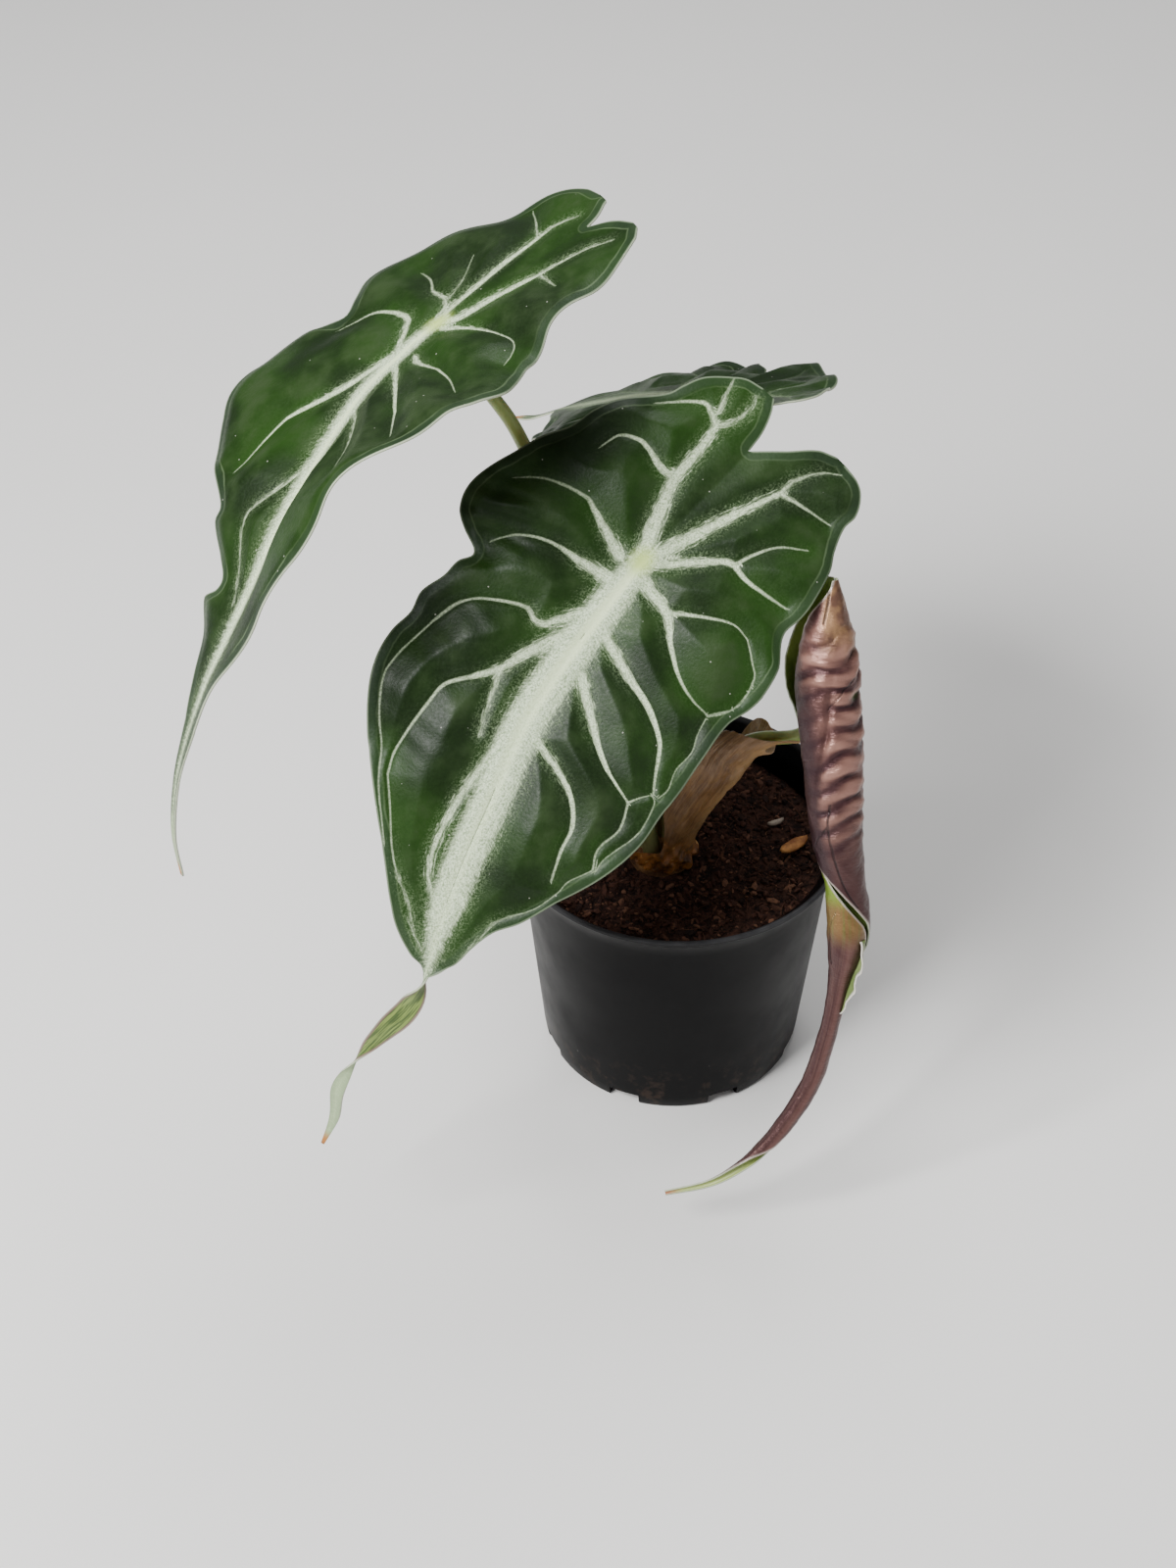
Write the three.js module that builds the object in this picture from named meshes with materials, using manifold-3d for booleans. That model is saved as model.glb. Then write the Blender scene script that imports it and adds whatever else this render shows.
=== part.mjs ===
import * as THREE from 'three';
import { mergeVertices } from 'three/addons/utils/BufferGeometryUtils.js';
import Module from 'manifold-3d';

const wasm = await Module();
wasm.setup();

// A small alocasia in its nursery pot. Millimetres, +Z up, the front is -Y.
// The origin is the middle of the pot's foot, where it stands.

// Driving dimensions
const clearance = 0.3;
const bladeThickness = 0.7;

const pot = {
  height: 70,
  rimRadius: 42.5,
  neckRadius: 38.6,        // wall just under the flared rim
  neckHeight: 62,
  footRadius: 33,
  wall: 1.1,
  floor: 1.8,
  segments: 48,
  notchCount: 8,           // drain notches in the edge of the foot
  notchWidth: 8,
  notchHeight: 3.6,
  notchDepth: 4,
};

const soil = { level: 61, crumb: 0.9, rings: 9, segments: 44 };

const crown = { x: -4, y: -4, radius: 7.2, top: 65.5, foot: 46 };

// Every leaf: "axis" runs down the middle of the blade, from the notch between the two back lobes,
// over the stalk (point number "attach") to the tip. Distances along it are counted from the stalk.
// "left" and "right" are the half widths of the blade, and the inner lists are the notch's sides.
// "spread" is the way the right half points, "cup" the lift of the left and right half in degrees.
const leftLeaf = {
  axis: [
    [-21.7, 22, 220], [-38.3, 15, 212], [-53.3, 8, 205.3], [-62, 1, 201], [-68.5, -6, 197.5],
    [-74.7, -14.5, 192], [-80.5, -24, 186.5], [-86, -32.5, 180], [-90.5, -40, 172.5], [-96, -46.5, 163.5],
    [-100.5, -50.5, 155.5], [-105.5, -54, 143], [-108.5, -56, 132.5], [-110.5, -57, 119], [-110, -57, 106],
  ],
  attach: 2,
  spread: [
    [-45, 0.34, -0.93, 0.15], [-18, 0.37, -0.92, 0.15], [0, 0.47, -0.86, 0.2], [22, 0.6, -0.72, 0.36],
    [47, 0.58, -0.69, 0.45], [70, 0.45, -0.79, 0.41], [92, 0.33, -0.92, 0.2], [144, 0.54, -0.84, 0.02],
  ],
  cup: [[-45, 0, 0], [0, -2, -2], [25, 3, 3], [42, 10, 10], [55, 13, 13], [80, 6, 6], [144, 4, 4]],
  left: [
    [-44.2, 9], [-43, 14], [-38, 20], [-32, 24], [-24, 25.5], [-18, 29], [-10, 35], [-3, 38], [1, 37],
    [4, 33], [7, 28], [9.5, 29.5], [13, 37], [17, 41], [23, 43], [30, 41.5], [37, 36.5], [46, 30],
    [53, 22.5], [56, 20.5], [59, 21.5], [66, 16.5], [71.5, 12], [74.5, 12.5], [78, 16.5], [86, 11],
    [95, 6], [102, 3.6],
  ],
  right: [
    [-45, 13], [-43, 16.5], [-36, 20.5], [-30, 23], [-24, 23.5], [-18, 25.5], [-13, 29.5], [-6, 33.5],
    [3, 38], [12, 41], [22, 41], [30, 39], [38, 35.5], [44, 31], [50, 27.5], [56, 28], [62, 25.5], [66, 21.5],
    [72, 17], [76, 15.5], [84, 10], [90, 6.5], [96, 4.4], [102, 3.2],
  ],
  leftInner: [[-44.2, 4.5], [-41, 1.6], [-37.5, 0]],
  rightInner: [[-45, 10.5], [-43, 6.6], [-37.5, 0]],
  drip: [[102, 3.4], [110, 2.3], [118, 1.5], [130, 1], [143.5, 0.5]],
  neck: 102,
  tipRows: 9,
  wave: 1.1,
  waveLength: 23,
};

const frontLeaf = {
  axis: [
    [12.7, -2, 179.6], [1.3, -11, 172], [-10.2, -20, 164], [-25, -33, 150], [-35.5, -44, 138.5],
    [-42.7, -54, 125.5], [-48.7, -61, 114], [-53.8, -67, 101.5], [-57.6, -70.5, 87.6], [-61.5, -71, 79],
    [-66.5, -71.5, 73], [-71.5, -72, 66.8], [-75.1, -72, 61], [-78.8, -72, 52.6], [-80.3, -72, 43],
    [-84.1, -72, 32.3],
  ],
  attach: 2,
  spread: [
    [-45, 0.89, -0.31, -0.34], [100, 0.89, -0.31, -0.34], [116, 0.8, -0.3, -0.5], [165, 0.9, -0.4, -0.1],
  ],
  cup: [[0, 0, 0]],
  left: [
    [-45.2, 7.5], [-44.4, 11], [-42.2, 14], [-38, 18], [-33.5, 20], [-30, 21.3], [-22.5, 27.3], [-16.7, 29.7],
    [-10, 31], [-5, 34], [0, 36], [5, 38], [10, 39], [14.6, 37.5], [17.2, 34], [19, 30.2], [20.5, 29.3],
    [23, 31], [27, 31.6], [32, 33.7], [36, 33.2], [40, 34.5], [45, 34.5], [53, 31.7], [62, 28],
    [70, 23.3], [78, 18.2], [84, 14.7], [89, 12], [95, 8.7], [99.5, 5.2], [102, 2], [104, 1],
  ],
  right: [
    [-45.4, 17], [-44.8, 21], [-42.8, 24], [-39, 26.2], [-35.5, 26.2], [-30.5, 28.2], [-27, 30.3],
    [-20, 32.3], [-15.4, 33], [-10.8, 32.8], [-4.7, 35.9], [-1.5, 37.2], [6.6, 38.3], [11, 37.8],
    [17, 36], [27, 36], [38, 36], [51, 34.6], [57.4, 33.3], [63, 30.2], [69, 26.4], [76, 21.8],
    [83.4, 16.5], [88, 11.6], [94, 8.2],
    [98.5, 6], [101.5, 3.4], [104, 1],
  ],
  leftInner: [[-45.2, 4], [-42.6, 2.3], [-38.2, 0.7], [-33.2, 0]],
  rightInner: [[-45.4, 14.5], [-43.7, 10.7], [-38.5, 5.7], [-33.2, 0]],
  drip: [
    [104, 1], [108, 1.6], [114, 2.6], [121, 2.7], [128, 1.9], [133, 1], [137, 0.7],
    [142, 1.4], [148, 1.8], [154, 1.5], [160, 0.9], [166.5, 0.4],
  ],
  twist: [[0, 0], [99, 0], [101, 0], [113, 180], [129, 180], [142, 360], [167, 360]],
  neck: 104,
  tipRows: 24,
  wave: 0.9,
  waveLength: 21,
};

// The rear leaf has the front leaf's margins at a smaller size, with a short plain tip.
const rearScale = 0.84;
const smaller = (list) => list.map(([v, width]) => [v * rearScale, width * rearScale]);
const rearLeaf = {
  axis: [
    [15.3, 22.4, 175.9], [11.7, 31.4, 170.4], [6.8, 41.8, 164.4], [-7.3, 67.4, 148.5], [-20.1, 90.7, 130.6],
    [-29.3, 105.3, 118.8], [-35.7, 112.3, 111.8], [-39.9, 115.3, 109.6],
  ],
  attach: 2,
  spread: [[-38, -0.88, -0.42, 0], [30, -0.86, -0.45, -0.06], [60, -0.84, -0.48, -0.15]],
  cup: [[-38, -3, -3], [40, -4, -4], [105, 0, 0]],
  left: smaller(frontLeaf.left),
  right: smaller(frontLeaf.right),
  leftInner: [[-38, 4], [-36.5, 1], [-35, 0]],
  rightInner: [[-38.1, 12.2], [-37, 6], [-35, 0]],
  drip: [[87, 1], [94, 1.3], [101, 1], [107, 0.4]],
  neck: 87,
  tipRows: 6,
  wave: 1.2,
  waveLength: 19,
};

// The young leaf is still rolled: "axis" is the middle of the roll, "radius" its radius, "turn" the
// place of the midrib round it, "right" and "left" the angles that the two halves reach from there.
// An angle of 0 is on the right, 90 at the front, 180 on the left and -90 at the back.
const youngLeaf = {
  axis: [
    [30.2, -20, 159], [30.1, -24, 149], [30.6, -29, 137], [32, -36, 123], [33.6, -43, 106], [35.8, -47.5, 95],
    [37, -52, 84], [35.7, -55.5, 71.6], [34.3, -58.5, 61.6], [33, -60, 54.5], [31, -62, 46], [28, -64, 39],
    [24, -66, 32], [20, -67.5, 26.5], [15, -69, 21.5], [7.3, -70, 16], [-4.8, -70.5, 12.5],
  ],
  attach: 2,
  spread: [[-24, 1, 0, 0], [150, 1, 0, 0]],
  radius: [
    [-24, 1.6], [-19, 3.4], [-13, 5.2], [-5, 6.6], [0, 7], [16, 6.5], [34, 5.6], [46, 4.5], [56, 4.8],
    [62, 4.2], [71, 2.6], [81, 2], [98, 2.2], [114, 2], [121, 1.8], [128, 1.4], [138, 0.9], [149, 0.6],
  ],
  turn: [[-24, -45], [149, -45]],
  right: [
    [-24, 120], [-16, 205], [0, 230], [38, 230], [46, 164], [52, 112], [58, 62], [66, 40], [75, 28],
    [118, 28], [134, 45], [149, 40],
  ],
  left: [
    [-24, 60], [-16, 100], [0, 118], [38, 120], [46, 180], [52, 232], [58, 282], [66, 300], [105, 300],
    [118, 265], [126, 185], [134, 130], [149, 90],
  ],
  flareLeft: [[-24, 1.1], [-13, 1.4], [-4, 1.42], [6, 1.1], [12, 0.95], [150, 0.95]],
  notch: -9,
  notchAngle: 7,
};

const stalkRadius = { foot: 2.4, top: 1.55 };
const stalks = {
  petiole_left: [
    [-7.5, -3.2, 61], [-9.5, 0, 82], [-15, 2.5, 110], [-27, 3.5, 153], [-35.8, 4, 177.8],
    [-42, 5.8, 188.3], [-52.3, 7.9, 201.6],
  ],
  petiole_front: [
    [-4.9, -7.7, 61], [-7.9, -8.1, 77], [-9.6, -9.3, 95], [-9, -11.5, 120], [-8, -13, 144], [-10, -18, 160.5],
  ],
  petiole_rear: [[-3, -0.2, 61], [-2, 4.4, 85], [0.3, 14.5, 118], [3.2, 27, 144], [7.5, 40.3, 161.4]],
  petiole_young: [
    [-0.4, -5, 61], [0.1, -4.6, 67], [4, -4.2, 80.5], [9.5, -5.5, 93.5], [14.1, -8.3, 101.4],
    [18.5, -10.2, 105.1], [22.8, -13, 107.8], [26.2, -15.6, 110.8], [30.2, -18.3, 116], [33.5, -20.8, 122.5],
    [34.9, -22.3, 131],
  ],
};

const sheath = {
  axis: [
    [-4, -4, 64], [-3, -4.2, 70], [3, -5, 82], [10.3, -7.4, 97.5], [14.1, -10, 103], [18.7, -13.5, 107.8],
    [22.4, -17, 111], [26.9, -21, 114.4],
  ],
  spread: [[0, 0.8, 0, -0.6], [70, 0.6, -0.1, -0.8]],
  radius: [
    [0, 8.5], [4.5, 8.5], [8.5, 7.3], [14, 6.3], [22, 6], [34, 6], [41, 4.8], [48, 3], [52, 2.2],
    [57.5, 1.1], [64, 0.8],
  ],
  right: [
    [0, 112], [3.7, 104], [7, 108], [22, 112], [36, 114], [42, 122], [45, 110], [47.5, 56], [50, 34],
    [53, 36], [58, 50], [64, 50],
  ],
  left: [
    [0, 100], [3, 98], [6, 54], [11, 66], [15, 92], [20, 130], [24, 150], [44, 150], [50, 110],
    [58, 55], [64, 50],
  ],
  flareRight: [[0, 1], [26, 1.05], [37, 1.5], [42, 2.2], [46, 2.6], [49, 1.4], [52, 1], [64, 1]],
  middle: -45,
};

const chips = {
  bark_chip: { length: 8.5, width: 3.4, height: 1.6, x: 29, y: -2, turn: 38 },
  pale_chip: { length: 4.4, width: 1.6, height: 1, x: 25, y: 6.5, turn: 24 },
};

const colours = {
  pot: 0x151518, soil: 0x38241c, crown: 0x6b4a26, blade: 0x25401f, young: 0x7a5560,
  stalk: 0x9bab6a, sheath: 0x9c7650, bark: 0xa8703a, pale: 0x9a8b78,
};

// A value read from a list of [distance, value], smooth between its points.
function along(list, s) {
  const last = list.length - 1;
  if (s <= list[0][0]) return list[0][1];
  if (s >= list[last][0]) return list[last][1];
  let i = 0;
  while (list[i + 1][0] < s) i += 1;
  const slope = (a, b) => (list[b][1] - list[a][1]) / (list[b][0] - list[a][0]);
  const span = list[i + 1][0] - list[i][0];
  const t = (s - list[i][0]) / span;
  const startSlope = slope(Math.max(i - 1, 0), i + 1);
  const endSlope = slope(i, Math.min(i + 2, last));
  const rise = t * t * (3 - 2 * t);
  return list[i][1] * (1 - rise) + list[i + 1][1] * rise
    + span * (startSlope * t * (1 - t) * (1 - t) - endSlope * t * t * (1 - t));
}

// A direction read from a list of [distance, x, y, z].
function directionAlong(list, s) {
  const part = (k) => along(list.map((row) => [row[0], row[k]]), s);
  return new THREE.Vector3(part(1), part(2), part(3));
}

const radians = THREE.MathUtils.degToRad;

function smoothCurve(points) {
  const knots = points.map((p) => new THREE.Vector3(...p));
  return new THREE.CatmullRomCurve3(knots, false, 'catmullrom', 0.5);
}

// The middle line of a leaf, with the direction of its right half and of its upper face.
function middleLine({ axis, attach = 0, spread, twist }) {
  const steps = 400;
  const curve = smoothCurve(axis);
  curve.arcLengthDivisions = steps;
  const lengths = curve.getLengths(steps);
  const total = lengths[steps];
  const before = lengths[Math.round((steps * attach) / (axis.length - 1))];
  return (v) => {
    const share = THREE.MathUtils.clamp((v + before) / total, 0, 1);
    const tangent = curve.getTangentAt(share);
    const point = curve.getPointAt(share).addScaledVector(tangent, v + before - share * total);
    const right = directionAlong(spread, v).projectOnPlane(tangent).normalize();
    if (twist) right.applyAxisAngle(tangent, radians(along(twist, v)));
    const up = new THREE.Vector3().crossVectors(tangent, right);
    return { point, right, up };
  };
}

// A closed body from rows of points: the left and right half of each row run outwards from the middle.
// Above the notch the two halves are apart. Both faces are split into the same triangles.
function thinBody(rows, thickness, ribDepth = () => 0) {
  const points = [];
  const ribs = [];
  const index = rows.map(({ left, right, v, split }) => {
    const add = (p, rib) => {
      points.push(p);
      ribs.push(rib);
      return points.length - 1;
    };
    const middle = add(left[0], split ? 0 : ribDepth(v));
    const rightMiddle = split ? add(right[0], 0) : middle;
    return {
      left: [middle, ...left.slice(1).map((p) => add(p, 0))],
      right: [rightMiddle, ...right.slice(1).map((p) => add(p, 0))],
    };
  });
  const triangles = [];
  for (let r = 0; r + 1 < index.length; r += 1) {
    for (const side of ['left', 'right']) {
      const a = index[r][side];
      const b = index[r + 1][side];
      for (let c = 0; c + 1 < a.length; c += 1) {
        if (side === 'right') triangles.push([a[c], b[c], b[c + 1]], [a[c], b[c + 1], a[c + 1]]);
        else triangles.push([a[c + 1], b[c + 1], a[c]], [b[c + 1], b[c], a[c]]);
      }
    }
  }
  const normals = points.map(() => new THREE.Vector3());
  for (const [a, b, c] of triangles) {
    const ab = points[b].clone().sub(points[a]);
    const ac = points[c].clone().sub(points[a]);
    const n = ab.cross(ac);
    for (const k of [a, b, c]) normals[k].add(n);
  }
  normals.forEach((n) => n.normalize());
  const count = points.length;
  const upper = points.map((p, k) => p.clone().addScaledVector(normals[k], thickness / 2));
  const lower = points.map((p, k) => p.clone().addScaledVector(normals[k], -thickness / 2 - ribs[k]));
  const open = new Map();
  for (const [a, b, c] of triangles) {
    for (const [from, to] of [[a, b], [b, c], [c, a]]) {
      if (open.has(`${to},${from}`)) open.delete(`${to},${from}`);
      else open.set(`${from},${to}`, [from, to]);
    }
  }
  const faces = triangles.flatMap(([a, b, c]) => [[a, b, c], [a + count, c + count, b + count]]);
  for (const [from, to] of open.values()) {
    faces.push([to, from, from + count], [to, from + count, to + count]);
  }
  const geometry = new THREE.BufferGeometry();
  const all = [...upper, ...lower].flatMap((p) => [p.x, p.y, p.z]);
  geometry.setAttribute('position', new THREE.Float32BufferAttribute(all, 3));
  geometry.setIndex(faces.flat());
  return geometry;
}

// The rows of a blade: close together round the ends of the lobes, then one at each point of its left
// margin, then even ones along the drip tip.
function bladeRows(leaf, notch, tip) {
  const lobeRows = 4;
  const rows = [];
  for (let k = lobeRows; k > 0; k -= 1) {
    rows.push({ split: true, share: Math.sin((Math.PI / 2) * (k / lobeRows)), v: notch });
  }
  rows.push({ v: notch });
  for (const [v] of leaf.left) if (v > notch + 1 && v < leaf.neck) rows.push({ v });
  const step = (tip - leaf.neck) / leaf.tipRows;
  for (let k = 0; k <= leaf.tipRows; k += 1) rows.push({ v: leaf.neck + step * k });
  return rows;
}

// An open blade: keeled along its midrib, each half bulging up between rib and margin, waved at the margin.
function openBlade(leaf) {
  const line = middleLine(leaf);
  const across = [0, 0.12, 0.34, 0.58, 0.8, 1];
  const notch = leaf.leftInner[leaf.leftInner.length - 1][0];
  const tip = leaf.drip[leaf.drip.length - 1][0];
  const half = (v, side, row) => {
    const outer = side > 0 ? leaf.right : leaf.left;
    const inner = side > 0 ? leaf.rightInner : leaf.leftInner;
    const distance = row.split ? notch + (outer[0][0] - notch) * row.share : v;
    const edge = distance > leaf.neck ? along(leaf.drip, distance) : along(outer, distance);
    const start = row.split ? along(inner, distance) : 0;
    const { point, right, up } = line(distance);
    const cup = leaf.cup.map(([v0, leftLift, rightLift]) => [v0, side > 0 ? rightLift : leftLift]);
    const lift = radians(along(cup, distance));
    const full = Math.min(1, edge / 30);
    return across.map((share) => {
      const u = start + (edge - start) * share;
      const wave = leaf.wave * full * (u / edge) ** 2
        * Math.sin((2 * Math.PI * distance) / leaf.waveLength + (side > 0 ? 1.1 : 0));
      const bulge = 1.6 * full * full * Math.sin((Math.PI * u) / edge);
      return point.clone()
        .addScaledVector(right, side * u * Math.cos(lift))
        .addScaledVector(up, u * Math.sin(lift) + wave + bulge);
    });
  };
  const rows = bladeRows(leaf, notch, tip)
    .map((row) => ({ ...row, left: half(row.v, -1, row), right: half(row.v, 1, row) }));
  const { clamp, smoothstep } = THREE.MathUtils;
  const rib = (v) => 1.5 * clamp(1 - v / leaf.neck, 0, 1) * smoothstep(v, notch, 0);
  return thinBody(rows, bladeThickness, rib);
}

// A sheet rolled round a line: each half goes round from the midrib at its own radius.
function rolledSheet(sheet, rowCount, columns, thickness) {
  const line = middleLine(sheet);
  const start = sheet.radius[0][0];
  const end = sheet.radius[sheet.radius.length - 1][0];
  const notch = sheet.notch ?? start - 1;
  const ring = (v, side, split) => {
    const { point, right, up } = line(v);
    const radius = along(sheet.radius, v);
    const reach = radians(along(side > 0 ? sheet.right : sheet.left, v));
    const turn = radians(sheet.turn ? along(sheet.turn, v) : sheet.middle);
    const gapAngle = split ? radians(sheet.notchAngle) : 0;
    const widening = side > 0 ? sheet.flareRight : sheet.flareLeft;
    const flare = widening ? along(widening, v) : 1;
    return Array.from({ length: columns + 1 }, (_, k) => {
      const share = k / columns;
      const angle = turn + side * (gapAngle + (reach - gapAngle) * share);
      const r = radius * (1 + (flare - 1) * share * share);
      return point.clone()
        .addScaledVector(right, r * Math.cos(angle))
        .addScaledVector(up, r * Math.sin(angle));
    });
  };
  const rows = Array.from({ length: rowCount + 1 }, (_, k) => {
    const v = start + ((end - start) * k) / rowCount;
    const split = v < notch;
    return { v, split, left: ring(v, -1, split), right: ring(v, 1, split) };
  });
  const rib = (v) => (sheet.turn && v > notch ? 0.5 * THREE.MathUtils.clamp(1 - v / 100, 0, 1) : 0);
  return thinBody(rows, thickness, rib);
}

// A stalk: round rings along a curve, thicker at its foot, with flat ends.
function stalk(points, footRadius, topRadius, extra = 0) {
  const sides = 8;
  const steps = 14;
  const curve = smoothCurve(points);
  const { normals, binormals } = curve.computeFrenetFrames(steps, false);
  const position = [];
  for (let k = 0; k <= steps; k += 1) {
    const centre = curve.getPointAt(k / steps);
    const radius = topRadius + (footRadius - topRadius) * (1 - k / steps) ** 2 + extra;
    for (let s = 0; s < sides; s += 1) {
      const angle = (2 * Math.PI * s) / sides;
      const p = centre.clone()
        .addScaledVector(normals[k], radius * Math.cos(angle))
        .addScaledVector(binormals[k], radius * Math.sin(angle));
      position.push(p.x, p.y, p.z);
    }
  }
  const faces = [];
  const at = (k, s) => k * sides + (s % sides);
  for (let k = 0; k < steps; k += 1) {
    for (let s = 0; s < sides; s += 1) {
      faces.push(at(k, s), at(k, s + 1), at(k + 1, s + 1), at(k, s), at(k + 1, s + 1), at(k + 1, s));
    }
  }
  for (let s = 1; s + 1 < sides; s += 1) {
    faces.push(at(0, 0), at(0, s + 1), at(0, s), at(steps, 0), at(steps, s), at(steps, s + 1));
  }
  const geometry = new THREE.BufferGeometry();
  geometry.setAttribute('position', new THREE.Float32BufferAttribute(position, 3));
  geometry.setIndex(faces);
  return geometry;
}

// A turned body from a list of [radius, height], with its axis on Z.
function turned(profile, segments) {
  const outline = profile.map(([radius, height]) => new THREE.Vector2(radius, height));
  return new THREE.LatheGeometry(outline, segments).rotateX(Math.PI / 2);
}

function toSolid(geometry) {
  const bare = geometry.clone();
  bare.deleteAttribute('normal');
  bare.deleteAttribute('uv');
  const merged = mergeVertices(bare, 1e-4);
  return new wasm.Manifold(new wasm.Mesh({
    numProp: 3,
    vertProperties: new Float32Array(merged.attributes.position.array),
    triVerts: new Uint32Array(merged.index.array),
  }));
}

function toGeometry(solid) {
  const mesh = solid.getMesh();
  const geometry = new THREE.BufferGeometry();
  geometry.setAttribute('position', new THREE.BufferAttribute(new Float32Array(mesh.vertProperties), 3));
  geometry.setIndex(Array.from(mesh.triVerts));
  return geometry;
}

const group = new THREE.Group();

function addPiece(name, geometry, colour, roughness) {
  const material = new THREE.MeshStandardMaterial({ color: colour, roughness, metalness: 0 });
  const mesh = new THREE.Mesh(geometry, material);
  mesh.name = name;
  group.add(mesh);
}

// The pot: a thin tapered wall with a flared rim, a flat floor and drain notches in the foot's edge.
const wallRadius = (z) => pot.footRadius + ((pot.neckRadius - pot.footRadius) * z) / pot.neckHeight;
const potProfile = [
  [0, 0], [pot.footRadius - 1.2, 0], [pot.footRadius, 1.2], [pot.neckRadius, pot.neckHeight],
  [pot.neckRadius + 0.8, 65], [pot.rimRadius - 1, 68], [pot.rimRadius, 69], [pot.rimRadius, 69.7],
  [pot.rimRadius - 0.5, pot.height], [pot.rimRadius - 1.2, 69.6], [pot.neckRadius + 0.4, 67],
  [pot.neckRadius - pot.wall, 63], [wallRadius(4) - pot.wall, 4],
  [wallRadius(pot.floor) - pot.wall - 1, pot.floor], [0, pot.floor],
];
let potSolid = toSolid(turned(potProfile, pot.segments));
for (let k = 0; k < pot.notchCount; k += 1) {
  const angle = (2 * Math.PI * (k + 0.5)) / pot.notchCount;
  const notch = new THREE.BoxGeometry(2 * pot.notchDepth, pot.notchWidth, 2 * pot.notchHeight);
  notch.translate(pot.footRadius, 0, 0).rotateZ(angle);
  potSolid = potSolid.subtract(toSolid(notch));
}
addPiece('pot', toGeometry(potSolid), colours.pot, 0.45);

// The crown: the short stem that the leaf stalks stand in.
const crownProfile = [
  [0, crown.foot], [crown.radius - 1.5, crown.foot], [crown.radius, crown.foot + 3], [crown.radius, 60],
  [crown.radius - 1, 63.5], [crown.radius - 3, crown.top - 0.4], [0, crown.top],
];
let crownSolid = toSolid(turned(crownProfile, 24).translate(crown.x, crown.y, 0));
for (const route of Object.values(stalks)) {
  const [[x, y, z], ...rest] = route;
  const pocket = stalk([[x, y, z - clearance], ...rest], stalkRadius.foot, stalkRadius.top, clearance);
  crownSolid = crownSolid.subtract(toSolid(pocket));
}
addPiece('crown', toGeometry(crownSolid), colours.crown, 0.8);

// The soil: it fills the pot, with a crumbly top and a hole for the crown.
const crumbs = (x, y) => soil.crumb * (
  0.45 * Math.sin(0.83 * x + 0.31 * y + 1.2) * Math.cos(0.71 * y - 0.42 * x)
  + 0.35 * Math.sin(1.57 * x - 1.21 * y + 0.4) + 0.3 * Math.sin(1.93 * y + 0.77 * x));
const soilEdge = wallRadius(soil.level) - pot.wall - clearance - 0.2;
const soilFoot = wallRadius(4) - pot.wall - clearance - 0.2;
const soilProfile = [
  [0, pot.floor + clearance], [soilFoot - 2.2, pot.floor + clearance], [soilFoot, 4.4],
  [soilEdge, soil.level],
];
for (let k = soil.rings - 1; k >= 0; k -= 1) soilProfile.push([(soilEdge * k) / soil.rings, soil.level]);
const soilShape = turned(soilProfile, soil.segments);
const soilPoints = soilShape.attributes.position;
for (let k = 0; k < soilPoints.count; k += 1) {
  if (soilPoints.getZ(k) > soil.level - 0.1) {
    soilPoints.setZ(k, soil.level + crumbs(soilPoints.getX(k), soilPoints.getY(k)));
  }
}
const crownHole = crownProfile.map(([radius, height]) => [radius > 0 ? radius + clearance : 0, height]);
crownHole[0][1] -= clearance;
crownHole[1][1] -= clearance;
crownHole.splice(3, 4, [crown.radius + clearance, 70], [0, 70]);
const soilSolid = toSolid(soilShape).subtract(toSolid(turned(crownHole, 24).translate(crown.x, crown.y, 0)));
addPiece('soil', toGeometry(soilSolid), colours.soil, 0.95);

// The leaves: each on its own stalk.
for (const [name, route] of Object.entries(stalks)) {
  addPiece(name, stalk(route, stalkRadius.foot, stalkRadius.top), colours.stalk, 0.5);
}
addPiece('blade_left', openBlade(leftLeaf), colours.blade, 0.45);
addPiece('blade_front', openBlade(frontLeaf), colours.blade, 0.45);
addPiece('blade_rear', openBlade(rearLeaf), colours.blade, 0.45);
addPiece('blade_young', rolledSheet(youngLeaf, 40, 7, bladeThickness), colours.young, 0.35);

// The dry sheath that wraps the crown and the young leaf's stalk.
addPiece('sheath', rolledSheet(sheath, 18, 8, bladeThickness), colours.sheath, 0.7);

// Two loose chips on the soil.
for (const [name, chip] of Object.entries(chips)) {
  const { length: l, width: w } = chip;
  const corners = [[-0.5, -0.15], [-0.3, -0.5], [0.35, -0.38], [0.5, 0.1], [0.15, 0.5], [-0.4, 0.35]];
  const outline = new THREE.Shape(corners.map(([x, y]) => new THREE.Vector2(x * l, y * w)));
  const solid = new THREE.ExtrudeGeometry(outline, { depth: chip.height, bevelEnabled: false });
  solid.rotateZ(radians(chip.turn)).translate(chip.x, chip.y, soil.level + soil.crumb + clearance);
  addPiece(name, solid, name === 'bark_chip' ? colours.bark : colours.pale, 0.85);
}

export default group;
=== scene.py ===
import math
import random

import bmesh
import bpy
import numpy as np
from mathutils import Euler, Matrix, Vector, noise


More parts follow.
